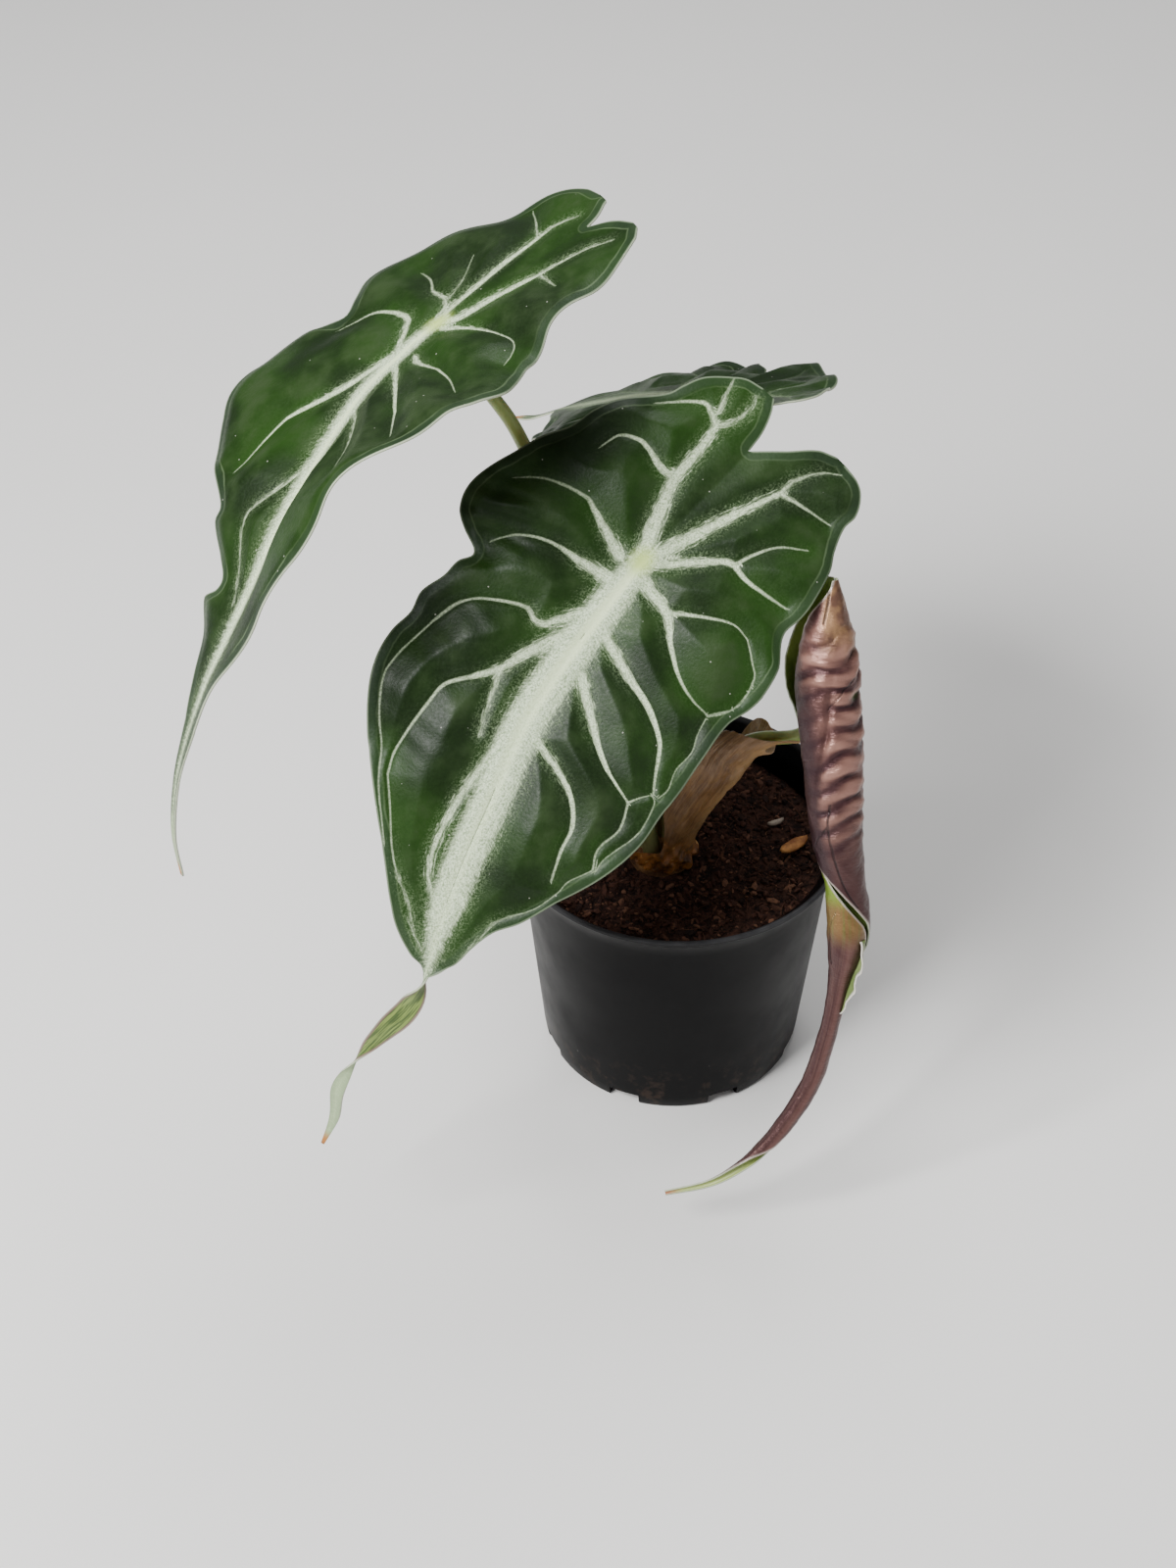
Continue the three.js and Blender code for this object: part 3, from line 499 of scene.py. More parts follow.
# Shader nodes by short names. "owner" is the material or group, and "target" takes its results
class Shader:
    def __init__(self, owner, tree):
        self.owner = owner
        self.tree = tree

    def add(self, kind, **settings):
        node = self.tree.nodes.new(kind)
        for key, value in settings.items():
            setattr(node, key, value)
        return node

    def link(self, source, target):
        if isinstance(source, Value):
            self.tree.links.new(source.socket, target)
        elif isinstance(source, tuple):
            target.default_value = (*source, 1)
        else:
            target.default_value = source

    def feed(self, node, *values):
        for socket, value in zip(node.inputs, values):
            self.link(value, socket)
        return Value(self, node.outputs[0])

    def outputs(self, node):
        return {socket.name: Value(self, socket) for socket in node.outputs}

    # Set the results, and return the finished material or group
    def give(self, **values):
        for label, value in values.items():
            self.link(value, self.target[label.replace("_", " ")])
        return self.owner

    def math(self, operation, *values):
        return self.feed(self.add("ShaderNodeMath", operation=operation), *values)

    def vector(self, x, y):
        return self.feed(self.add("ShaderNodeCombineXYZ"), x, y)

    def length(self, x, y):
        node = self.add("ShaderNodeVectorMath", operation="LENGTH")
        self.feed(node, self.vector(x, y))
        return Value(self, node.outputs["Value"])

    def mix(self, share, a, b):
        node = self.add("ShaderNodeMix", data_type="RGBA")
        for k, value in ((0, share), (6, a), (7, b)):
            self.link(value, node.inputs[k])
        return Value(self, node.outputs[2])

    def place(self):
        return Value(self, self.add("ShaderNodeTexCoord").outputs["Object"])

    # Noise over the object, or over the vector from x and y
    def noise(self, scale, detail=3, roughness=0.55, x=None, y=None):
        node = self.add("ShaderNodeTexNoise")
        self.link(self.place() if x is None else self.vector(x, y), node.inputs["Vector"])
        for label, value in (("Scale", scale), ("Detail", detail), ("Roughness", roughness)):
            self.link(value, node.inputs[label])
        return Value(self, node.outputs["Fac"])

    def values(self, *names):
        nodes = [self.add("ShaderNodeAttribute", attribute_name=name) for name in names]
        return [Value(self, node.outputs["Fac"]) for node in nodes]

    def bump(self, height, strength, distance):
        node = self.add("ShaderNodeBump")
        for label, value in (("Height", height), ("Strength", strength), ("Distance", distance)):
            self.link(value, node.inputs[label])
        return Value(self, node.outputs[0])

    def use(self, tree, **values):
        node = self.add("ShaderNodeGroup", node_tree=tree)
        for label, value in values.items():
            self.link(value, node.inputs[label])
        return self.outputs(node)


# The inputs and outputs are given with their first values, None for a colour
def newGroup(name, inputs, outputs):
    tree = bpy.data.node_groups.new(name, "ShaderNodeTree")
    for way, labels in (("INPUT", inputs), ("OUTPUT", outputs)):
        for label, start in labels.items():
            kind = "NodeSocketColor" if start is None else "NodeSocketFloat"
            socket = tree.interface.new_socket(name=label, in_out=way, socket_type=kind)
            if start is not None:
                socket.default_value = start
    shader = Shader(tree, tree)
    shader.target = shader.add("NodeGroupOutput").inputs
    return shader, shader.outputs(shader.add("NodeGroupInput"))


def newMaterial(name, roughness=0.5, **sockets):
    material = bpy.data.materials.new(name)
    material.use_nodes = True
    material.node_tree.nodes.clear()
    shader = Shader(material, material.node_tree)
    surface = shader.add("ShaderNodeBsdfPrincipled")
    shader.target = surface.inputs
    shader.give(Roughness=roughness, **sockets)
    result = shader.add("ShaderNodeOutputMaterial")
    shader.link(Value(shader, surface.outputs[0]), result.inputs[0])
    return shader


dustColor = (0.7, 0.68, 0.6)


# Dust: sparse pale specks that lie on leaves and on the pot
def makeDust():
    shader, entry = newGroup("dust", {"Color": None, "Amount": 0.5, "Size": 900}, {"Color": None})
    node = shader.add("ShaderNodeTexVoronoi")
    shader.link(shader.place(), node.inputs["Vector"])
    shader.link(entry["Size"], node.inputs["Scale"])
    cells = shader.outputs(node)
    pick = shader.feed(shader.add("ShaderNodeSeparateColor"), cells["Color"])
    speck = cells["Distance"].ramp(0.15, 0.07) * shader.math("GREATER_THAN", pick, 0.96)
    return shader.give(Color=entry["Color"].mix(speck * entry["Amount"], dustColor))


# Mottle: a colour that wanders between two others, large patches over fine grain
def makeMottle():
    inputs = {"Dark": None, "Light": None, "Patches": 40, "Grain": 900}
    shader, entry = newGroup("mottle", inputs, {"Color": None, "Height": 0})
    grain = shader.noise(entry["Grain"], 2)
    share = grain * 0.45 + shader.noise(entry["Patches"]).ramp(0.35, 0.68, -0.15, 0.8)
    share.socket.node.use_clamp = True
    return shader.give(Color=entry["Dark"].mix(share, entry["Light"]), Height=grain)


# Feather: the silver on the midrib and the side veins, ragged near the midrib and crisp near the margin
def makeFeather():
    shader, entry = newGroup("feather", {"Ragged": 1, "Soft": 0.17}, {"Silver": 0, "Streak": 0, "Haze": 0})
    along, across, run, band = shader.values("along", "across", "run", "band")
    gap, width, offset = shader.values("gap", "width", "offset")
    out = abs(across)
    fine = shader.noise(2600, 2) - 0.5
    straight = shader.noise(1, 4, 0.7, along * 0.35, across * 2.2)
    slanted = shader.noise(1, 4, 0.7, (along - out * 0.62) * 1.7, across * 0.22)
    hairs = straight * 0.45 + slanted * 0.55
    edge = ((hairs - 0.5) * 9 + fine) * entry["Ragged"] + (out - band)
    crisp = abs(offset) - width
    distance = (gap - crisp) * gap.ramp(0.3, 0.8) + crisp
    threads = shader.noise(1, 4, 0.7, run * 0.35, offset * 2.2)
    ragged = out.ramp(4, 18, 1, 0.1) * entry["Ragged"]
    distance = ((threads - 0.5) * 6 + fine) * ragged + distance
    blur = ragged * 0.5 + entry["Soft"]
    side = distance.ramp(blur, blur * -1) * width.ramp(0.12, 0.6, 0.5, 0.95)
    grain = fine * 0.9 + hairs.atLeast(threads)
    powder = (distance.ramp(3, 0) * ragged).atLeast(edge.ramp(4.2, 0))
    return shader.give(Silver=edge.ramp(1.1, -1.3).atLeast(side), Streak=grain,
                       Haze=powder * grain.ramp(0.42, 0.8))


dust = makeDust()
mottle = makeMottle()
feather = makeFeather()


leafFinish = {
    "dark": (0.0058, 0.0150, 0.0030),
    "green": (0.0125, 0.0410, 0.0036),
    "sheen": (0.034, 0.054, 0.022),
    "silver": (0.64, 0.75, 0.52),
    "silverDim": (0.23, 0.31, 0.17),
    "core": (0.68, 0.80, 0.48),
    "heart": (0.42, 0.55, 0.10),
    "margin": (0.19, 0.24, 0.155),
    "drip": (0.34, 0.44, 0.25),
    "tip": (0.42, 0.17, 0.04),
    "rimBand": (0.028, 0.048, 0.027),
}


# "line" is the strength of the fine vein that runs beside the margin, "silver" that of the veins
def makeLeafTop(name, line, silver=1, ragged=1):
    finish = leafFinish
    shader = newMaterial(name, Specular_IOR_Level=0.18)
    base = shader.use(mottle, Dark=finish["dark"], Light=finish["green"], Patches=46, Grain=1500)
    pattern = shader.use(feather, Ragged=ragged)
    along, across, gap, band = shader.values("along", "across", "gap", "band")
    rim, tip, tail = shader.values("rimGap", "tip", "tail")
    out = abs(across)
    sheen = shader.noise(92, 4, 0.6).ramp(0.42, 0.75, 0, 0.65) * gap.ramp(0.6, 4)
    color = base["Color"].mix(sheen, finish["sheen"])
    color = color.mix(pattern["Haze"] * (0.7 * silver), finish["silverDim"])
    color = color.mix(rim.ramp(2.4, 1.6, 0, 0.35), finish["rimBand"])
    thread = abs(shader.noise(120) * 1.6 + rim - 2.9).ramp(0.3, 0.05)
    strength = shader.noise(60).ramp(0.35, 0.7, 0.15 * line, line)
    color = color.mix(thread * strength, finish["silverDim"])
    pale = shader.mix(pattern["Streak"].ramp(0.32, 0.68), finish["silverDim"], finish["silver"])
    color = color.mix(pattern["Silver"] * silver, pale)
    core = (out / band.atLeast(0.3)).ramp(0.5, 0.16) * along.ramp(-2, 0)
    color = color.mix(core * along.ramp(95, 0, 0.2, 0.85 * silver), finish["core"])
    glow = shader.length(along * 0.75, out).ramp(3.8, 0.4, 0, 0.75 * silver)
    color = color.mix(glow, finish["heart"])
    color = color.mix(tail.ramp(20, 30, 0, 0.8), finish["drip"])
    color = color.mix(rim.ramp(0.5, 0.12) * tail.ramp(0, 8, 0.8, 0.25), finish["margin"])
    color = color.mix(tip.ramp(5.5, 1.5), finish["tip"])
    color = shader.use(dust, Color=color, Amount=0.45, Size=700)["Color"]
    rough = pattern["Silver"] * 0.14 + base["Height"].ramp(0.2, 0.8, 0.38, 0.5)
    height = pattern["Streak"] * pattern["Silver"] * 0.6 + base["Height"]
    return shader.give(Base_Color=color, Roughness=rough, Normal=shader.bump(height, 0.35, 0.00018))


underFinish = {
    "mauve": (0.060, 0.025, 0.028),
    "warm": (0.115, 0.055, 0.047),
    "vein": (0.17, 0.20, 0.075),
    "stripe": (0.038, 0.070, 0.010),       # the drip tip is striped
    "stripeLight": (0.17, 0.24, 0.045),
    "stripeEdge": (0.15, 0.075, 0.075),
    "edge": (0.26, 0.23, 0.17),
    "rimDark": (0.30, 0.36, 0.22),         # the cut edge between top and underside
    "rimLight": (0.52, 0.56, 0.42),
}


def makeLeafUnder():
    finish = underFinish
    shader = newMaterial("leafUnder", 0.45, Specular_IOR_Level=0.45, Sheen_Weight=0.1)
    along, across, gap, rim, tail = shader.values("along", "across", "gap", "rimGap", "tail")
    base = shader.use(mottle, Dark=finish["mauve"], Light=finish["warm"], Patches=60, Grain=1300)
    color = base["Color"].mix(abs(across).atMost(gap).ramp(1.1, 0.1) * 0.8, finish["vein"])
    lines = shader.noise(2.6, 2, x=along * 0.05, y=across).ramp(0.4, 0.6)
    stripes = shader.mix(lines, finish["stripe"], finish["stripeLight"])
    color = color.mix(tail.ramp(-3, 3), stripes.mix(rim.ramp(0.7, 0.3), finish["stripeEdge"]))
    color = color.mix(rim.ramp(0.4, 0.1), finish["edge"])
    return shader.give(Base_Color=color, Normal=shader.bump(base["Height"], 0.3, 0.0002))


def makeLeafRim():
    shader = newMaterial("leafRim", 0.45)
    color = shader.mix(shader.noise(700), underFinish["rimDark"], underFinish["rimLight"])
    return shader.give(Base_Color=color)


leafUnder = makeLeafUnder()
leafRim = makeLeafRim()
makeBlade("leafLeft", leftLeaf, [makeLeafTop("leafTop", 0.3, ragged=0.7), leafUnder, leafRim], "blade_left")
makeBlade("leafFront", frontLeaf, [makeLeafTop("frontTop", 0.2), leafUnder, leafRim], "blade_front")
makeBlade("leafRear", rearLeaf, [makeLeafTop("rearTop", 0.2, 0.3), leafUnder, leafRim], "blade_rear")


# The young leaf is rolled, its underside outwards. Angles as on a clock face seen from below:
# 0 is on the right, 90 at the front, 180 on the left and -90 at the back
youngLeaf = {
    "axis": [
        (30.2, -20, 159), (30.1, -24, 149), (30.6, -29, 137), (32, -36, 123), (33.6, -43, 106),
        (35.8, -47.5, 95), (37, -52, 84), (35.7, -55.5, 71.6), (34.3, -58.5, 61.6), (33, -60, 54.5),
        (31, -62, 46), (28, -64, 39), (24, -66, 32), (20, -67.5, 26.5), (15, -69, 21.5), (7.3, -70, 16),
        (-4.8, -70.5, 12.5),
    ],
    "attach": 2,
    "spread": [(-24, 1, 0, 0), (150, 1, 0, 0)],
    "radius": [
        (-24, 1.6), (-19, 3.4), (-13, 5.2), (-5, 6.6), (0, 7), (16, 6.5), (34, 5.6), (46, 4.5), (56, 4.8),
        (62, 4.2), (71, 2.6), (81, 2), (98, 2.2), (114, 2), (121, 1.8), (128, 1.4), (138, 0.9), (149, 0.6),
    ],
    "turn": [(-24, -45), (149, -45)],
    "right": [
        (-24, 120), (-16, 205), (0, 230), (38, 230), (46, 164), (52, 112), (58, 62), (66, 40), (75, 28),
        (118, 28), (134, 45), (149, 40),
    ],
    "left": [
        (-24, 60), (-16, 100), (0, 118), (38, 120), (46, 180), (52, 232), (58, 282), (66, 300), (105, 300),
        (118, 265), (126, 185), (134, 130), (149, 90),
    ],
    "leftFlare": [(-24, 1.1), (-13, 1.4), (-4, 1.42), (6, 1.1), (12, 0.95), (150, 0.95)],
    "notch": -9,
    "notchAngle": 7,
    "thickness": 0.4,
    "rows": 300,
    "columns": 60,
    "ridge": 0.95,             # height of the folds that run across the front
    "groove": 0.7,             # depth of the crease beside them
    "dent": 1.3,               # depth of the dent in the right side
    "ridgeLength": 5.3,
    "crease": [(-6, 84), (4, 94), (12, 108), (18, 124), (28, 140)],
    "veins": [
        (0.14, 0.1, [(-23, 4.7), (-19, 8.4), (-15, 12.2)]),
        (0.14, 0.1, [(-3, 10.3), (0, 14), (4, 17.3)]),
        (0.16, 0.12, [(25, 15.9), (32, 15.7), (42, 12.4), (51, 9)]),
        (0.12, 0.08, [(30, 15.8), (36, 19.5), (40, 21)]),
        (0.12, 0.1, [(52, -15), (58, -13), (66, -10)]),
    ],
    "flap": {"rows": 60, "columns": 6, "from": 59, "to": 79, "width": 2.8, "angle": 34, "curl": 24,
             "thickness": 0.3},
}


# One half of a rolled sheet, from its middle line round to its margin
def rolledHalf(sheet, side):
    first, last = sheet["radius"][0][0], sheet["radius"][-1][0]
    v = np.linspace(first, last, sheet["rows"] + 1)
    hand = "right" if side > 0 else "left"
    radius = smoothValue(sheet["radius"], v)[:, None]
    reach = np.radians(smoothValue(sheet[hand], v))[:, None]
    turn = np.radians(smoothValue(sheet["turn"], v))[:, None]
    flare = smoothValue(sheet.get(hand + "Flare", [(0, 1)]), v)[:, None]
    notch = math.radians(sheet.get("notchAngle", 0))
    gap = np.where(v < sheet.get("notch", first - 1), notch, 0)[:, None]
    share = np.linspace(0, 1, sheet["columns"] + 1)[None, :]
    point, right, up = middleLine(sheet, v)
    return {"v": np.repeat(v[:, None], share.shape[1], axis=1), "arc": side * radius * reach * share,
            "margin": radius * reach * (1 - share), "angle": turn + side * (gap + (reach - gap) * share),
            "r": radius * (1 + (flare - 1) * share ** 2), "point": point, "right": right, "up": up}


def ringPlace(point, right, up, r, angle):
    out = (r * np.cos(angle))[..., None] * right[:, None, :]
    rise = (r * np.sin(angle))[..., None] * up[:, None, :]
    return (point[:, None, :] + out + rise) * mm


def rolledPlace(half, lift):
    return ringPlace(half["point"], half["right"], half["up"], half["r"] + lift, half["angle"])


def wobble(v, arc, seed, size):
    value = np.zeros(v.shape)
    for k, (length, height) in enumerate(((9, 1), (5.2, 0.6), (2.7, 0.35))):
        value += height * np.sin(v * 2 * math.pi / length + 1.7 * k + seed) * np.cos(
            arc * 2 * math.pi / (length * 0.8) + 0.9 * k * seed)
    return value * size


def makeYoung(materials):
    bm = bmesh.new()
    for side in (-1, 1):
        half = rolledHalf(youngLeaf, side)
        v, arc = half["v"], half["arc"]
        angle = np.degrees(half["angle"]) + (360 if side < 0 else 0)
        crease = angle - smoothValue(youngLeaf["crease"], v)
        window = smoothStep(-19, -12, v) * (1 - smoothStep(26, 42, v)) * smoothStep(1, 6, half["margin"])
        folds = 1 - 0.82 * smoothStep(-16, 6, crease) * smoothStep(-4, 2, v)
        phase = 2 * math.pi * (v - 0.3 * np.abs(arc)) / youngLeaf["ridgeLength"]
        phase = phase + 0.9 * np.sin(0.42 * arc + 0.13 * v) + 0.5 * np.sin(0.21 * v)
        crest = np.abs(np.sin(phase / 2)) ** 0.75 - 0.6
        crest = crest * (0.8 + 0.2 * np.sin(0.37 * v + 0.55 * arc)) * (0.5 + 0.5 * smoothStep(-12, 22, angle))
        crest = (crest + 0.1 * np.sin(2.1 * phase + 0.8 * arc)) * window * folds
        groove = np.exp(-(crease / 7) ** 2) * smoothStep(-6, 4, v) * (1 - smoothStep(18, 28, v))
        dent = np.exp(-((v - 2) / 1.7) ** 2 - ((angle - 26) / 26) ** 2)
        lift = youngLeaf["ridge"] * crest - youngLeaf["groove"] * groove - youngLeaf["dent"] * dent
        lift = lift + wobble(v, arc, 0.7, 0.12) * smoothStep(0, 3, np.abs(arc))
        lift = lift * np.minimum(1, half["r"] / 5)
        values = {"along": v, "across": arc, "rimGap": half["margin"], "angle": angle,
                  "crest": crest, "gap": veinField(youngLeaf["veins"], v, arc)["gap"]}
        gridPiece(bm, rolledPlace(half, lift), values, side < 0)
    bmesh.ops.remove_doubles(bm, verts=bm.verts, dist=2e-6)
    makeObject("leafYoung", bm, materials, ["blade_young"], thickness=youngLeaf["thickness"])


# A torn strip of the young leaf's margin that curls away from its right side
def makeFlap():
    flap = youngLeaf["flap"]
    v = np.linspace(flap["from"], flap["to"], flap["rows"] + 1)
    share = np.linspace(0, 1, flap["columns"] + 1)[None, :]
    part = (v - flap["from"]) / (flap["to"] - flap["from"])
    torn = 1 + 0.2 * np.sin(v * 0.9) + 0.05 * np.sin(v * 2.3 + 1)
    width = flap["width"] * np.sin(math.pi * part) ** 0.6 * torn
    r = smoothValue(youngLeaf["radius"], v)[:, None] - 0.15 + width[:, None] * share
    angle = np.radians(flap["angle"] + flap["curl"] * share)
    bm = bmesh.new()
    place = ringPlace(*middleLine(youngLeaf, v), r, angle)
    gridPiece(bm, place, {"edge": np.repeat(share, len(v), axis=0)})
    makeObject("leafFlap", bm, [makeFlapFinish()], thickness=flap["thickness"])


def makeFlapFinish():
    shader = newMaterial("flapFinish", 0.5, Specular_IOR_Level=0.35)
    base = shader.use(mottle, Dark=flapColors["dark"], Light=flapColors["light"], Patches=200, Grain=1500)
    ragged = shader.noise(900) * 0.5 + shader.values("edge")[0]
    color = base["Color"].mix(ragged.ramp(0.85, 1.15), flapColors["torn"])
    return shader.give(Base_Color=color, Normal=shader.bump(base["Height"], 0.4, 0.0002))


youngFinish = {
    "mauve": (0.048, 0.0155, 0.0180),
    "beige": (0.150, 0.068, 0.058),
    "crestHighlight": (0.420, 0.220, 0.170),
    "topHighlight": (0.420, 0.240, 0.115),
    "purple": (0.020, 0.0068, 0.0110),
    "vein": (0.008, 0.003, 0.004),
    "green": (0.200, 0.300, 0.030),
    "greenDark": (0.10, 0.15, 0.03),
    "tan": (0.200, 0.110, 0.040),
    "tail": (0.090, 0.042, 0.036),
    "dent": (0.07, 0.10, 0.02),
    "pale": (0.420, 0.350, 0.310),
    "metallic": 0.55,
    "innerDark": (0.14, 0.22, 0.035),      # the face inside the roll
    "innerLight": (0.30, 0.38, 0.08),
    "innerTail": (0.34, 0.40, 0.14),
    "innerTip": (0.33, 0.14, 0.06),
}
flapColors = {
    "dark": (0.12, 0.17, 0.05),
    "light": (0.24, 0.30, 0.12),
    "torn": (0.60, 0.57, 0.50),
}


def makeYoungOuter():
    finish = youngFinish
    shader = newMaterial("youngOuter", Specular_IOR_Level=0.5, Metallic=finish["metallic"])
    along, across, angle = shader.values("along", "across", "angle")
    crest, rim, gap = shader.values("crest", "rimGap", "gap")
    base = shader.use(mottle, Dark=finish["mauve"], Light=finish["beige"], Patches=70, Grain=260)
    # Painted highlight on the crests of the folds, and painted shade in the hollows between them
    color = base["Color"].mix(crest.ramp(-0.1, 0.4) * 0.75, finish["crestHighlight"])
    color = color.mix(crest.ramp(-0.18, -0.5, 0, 0.75), finish["purple"])
    # Painted highlight: gold on the upper folds
    top = along.ramp(-6, -14) * angle.ramp(125, 95)
    color = color.mix(top * base["Height"].ramp(0.35, 0.6, 0.2, 0.8), finish["topHighlight"])
    shade = angle.ramp(108, 138) * along.ramp(-8, 4) * 0.75
    color = color.mix(shade, finish["purple"]).mix(along.ramp(14, 46, 0, 0.62), finish["purple"])
    fine = shader.noise(1, 4, 0.65, along * 0.06, angle * 0.12)
    strip = shader.mix(along.ramp(47, 52), finish["green"], finish["tan"])
    strip = strip.mix(fine.ramp(0.45, 0.62, 0, 0.45), finish["greenDark"])
    tail = shader.mix(fine.ramp(0.35, 0.65), finish["mauve"], finish["tail"])
    # Painted highlight: a lighter beige band along the front of the tail
    tail = tail.mix(abs(angle - 84).ramp(26, 6, 0, 0.55), finish["beige"])
    inner = across.ramp(-1, -2) * along.ramp(36, 40)
    color = color.mix(inner, strip.mix(along.ramp(55, 62), tail))
    veins = gap.ramp(0.25, -0.1) * 0.85
    color = color.mix(veins, finish["vein"])
    dent = shader.length(along - 2, angle * 0.06 - 1.6).ramp(1.5, 0.6, 0, 0.8)
    color = color.mix(dent, finish["dent"]).mix(rim.ramp(0.75, 0.2, 0, 0.9), finish["pale"])
    grain = shader.noise(1.4, 5, 0.65, along, across * 0.35)
    height = veins * -0.8 + grain * 1.3 + base["Height"]
    rough = base["Height"].ramp(0.2, 0.8, 0.3, 0.42)
    return shader.give(Base_Color=color, Roughness=rough, Normal=shader.bump(height, 0.6, 0.00032))


def makeYoungInner():
    finish = youngFinish
    shader = newMaterial("youngInner", 0.42, Specular_IOR_Level=0.45)
    along = shader.values("along")[0]
    base = shader.use(mottle, Dark=finish["innerDark"], Light=finish["innerLight"], Patches=70, Grain=1300)
    color = base["Color"].mix(along.ramp(45, 80, 0, 0.7), finish["innerTail"])
    color = color.mix(along.ramp(144, 148.5), finish["innerTip"])
    return shader.give(Base_Color=color, Normal=shader.bump(base["Height"], 0.3, 0.0002))


makeYoung([makeYoungOuter(), makeYoungInner(), leafRim])
makeFlap()


# Stalks: tapered tubes, a little swollen at the top, where the blade sits
stalks = {
    "left": [
        (-7.5, -3.2, 61), (-9.5, 0, 82), (-15, 2.5, 110), (-27, 3.5, 153), (-35.8, 4, 177.8),
        (-42, 5.8, 188.3), (-52.3, 7.9, 201.6),
    ],
    "front": [
        (-4.9, -7.7, 61), (-7.9, -8.1, 77), (-9.6, -9.3, 95), (-9, -11.5, 120), (-8, -13, 144),
        (-10, -18, 160.5),
    ],
    "rear": [(-3, -0.2, 61), (-2, 4.4, 85), (0.3, 14.5, 118), (3.2, 27, 144), (7.5, 40.3, 161.4)],
    "young": [
        (-0.4, -5, 61), (0.1, -4.6, 67), (4, -4.2, 80.5), (9.5, -5.5, 93.5), (14.1, -8.3, 101.4),
        (18.5, -10.2, 105.1), (22.8, -13, 107.8), (26.2, -15.6, 110.8), (30.2, -18.3, 116),
        (33.5, -20.8, 122.5), (34.7, -22.3, 130), (34.2, -23.3, 134),
    ],
}
stalkShape = {
    "foot": 2.4, "top": 1.55, "swelling": 0.12, "rows": 150, "sides": 28, "groove": 0.12, "grooveAngle": 4.2,
}
stalkColors = {
    "dark": (0.10, 0.17, 0.030),
    "light": (0.22, 0.31, 0.080),
    "line": (0.26, 0.36, 0.10),
    "spot": (0.16, 0.12, 0.05),
    "foot": (0.30, 0.24, 0.13),
}


def makeStalkFinish():
    shader = newMaterial("stalkFinish", 0.38, Specular_IOR_Level=0.5, Subsurface_Weight=0.05)
    along, angle = shader.values("along", "angle")
    base = shader.use(mottle, Dark=stalkColors["dark"], Light=stalkColors["light"], Patches=120, Grain=1800)
    lines = shader.noise(2.2, 4, x=angle, y=along * 0.08)
    color = base["Color"].mix(lines.ramp(0.4, 0.7, 0, 0.5), stalkColors["line"])
    color = color.mix(shader.noise(1500, 1).ramp(0.68, 0.75) * 0.3, stalkColors["spot"])
    color = color.mix(along.ramp(26, 4) * 0.6, stalkColors["foot"])
    return shader.give(Base_Color=color, Normal=shader.bump(lines + base["Height"], 0.25, 0.0002))


# A tube along the points of "centre", still open at its ends
def makeTube(bm, centre, radius, front, values):
    tangent = unit(np.gradient(centre, axis=0))
    side = unit(np.cross(tangent, front))
    angle = np.linspace(0, 2 * math.pi, radius.shape[1])[None, :]
    gridPiece(bm, ringPlace(centre, side, np.cross(tangent, side), radius, angle), values)


def closeTubes(bm):
    bmesh.ops.remove_doubles(bm, verts=bm.verts, dist=1e-6)
    bmesh.ops.holes_fill(bm, edges=[edge for edge in bm.edges if edge.is_boundary], sides=0)
    bmesh.ops.recalc_face_normals(bm, faces=bm.faces)


def makeStalk(key, finish):
    route = smoothCurve(stalks[key])
    lengths = travelled(route)
    s = np.linspace(0, lengths[-1], stalkShape["rows"] + 1)
    centre = np.stack([np.interp(s, lengths, route[:, k]) for k in range(3)], -1)
    radius = stalkShape["top"] + (stalkShape["foot"] - stalkShape["top"]) * (1 - s / s[-1]) ** 2
    radius += stalkShape["swelling"] * smoothStep(s[-1] - 9, s[-1] - 3, s)
    angle = np.linspace(0, 2 * math.pi, stalkShape["sides"] + 1)[None, :]
    groove = stalkShape["groove"] * np.exp(-((angle - stalkShape["grooveAngle"]) / 0.35) ** 2)
    r = radius[:, None] * 0.98 + 0.03 * np.cos(5 * angle) - groove
    bm = bmesh.new()
    makeTube(bm, centre, r, (0, 1, 0), {"along": s[:, None] + 0 * r, "angle": angle + 0 * r})
    closeTubes(bm)
    makeObject("stalk" + key.capitalize(), bm, [finish], ["petiole_" + key])


stalkFinish = makeStalkFinish()
for stalkName in stalks:
    makeStalk(stalkName, stalkFinish)


# The dry sheath: a thin wrinkled wrap round the crown and the young leaf's stalk
sheath = {
    "axis": [
        (-4, -4, 64), (-3, -4.2, 70), (3, -5, 82), (10.3, -7.4, 97.5), (14.1, -10, 103), (18.7, -13.5, 107.8),
        (22.4, -17, 111), (26.9, -21, 114.4),
    ],
    "spread": [(0, 0.8, 0, -0.6), (70, 0.6, -0.1, -0.8)],
    "radius": [
        (0, 8.5), (4.5, 8.5), (8.5, 7.3), (14, 6.3), (22, 6), (34, 6), (41, 4.8), (48, 3), (52, 2.2),
        (57.5, 1.1), (64, 0.8),
    ],
    "right": [
        (0, 112), (3.7, 104), (7, 108), (22, 112), (36, 114), (42, 122), (45, 110), (47.5, 56), (50, 34),
        (53, 36), (58, 50), (64, 50),
    ],
    "left": [
        (0, 100), (3, 98), (6, 54), (11, 66), (15, 92), (20, 130), (24, 150), (44, 150), (50, 110),
        (58, 55), (64, 50),
    ],
    "rightFlare": [(0, 1), (26, 1.05), (37, 1.5), (42, 2.2), (46, 2.6), (49, 1.4), (52, 1), (64, 1)],
    "turn": [(0, -45)],
    "rows": 170,
    "columns": 56,
    "thickness": 0.3,
    "wrinkle": 0.14,
    "fold": 0.45,
}
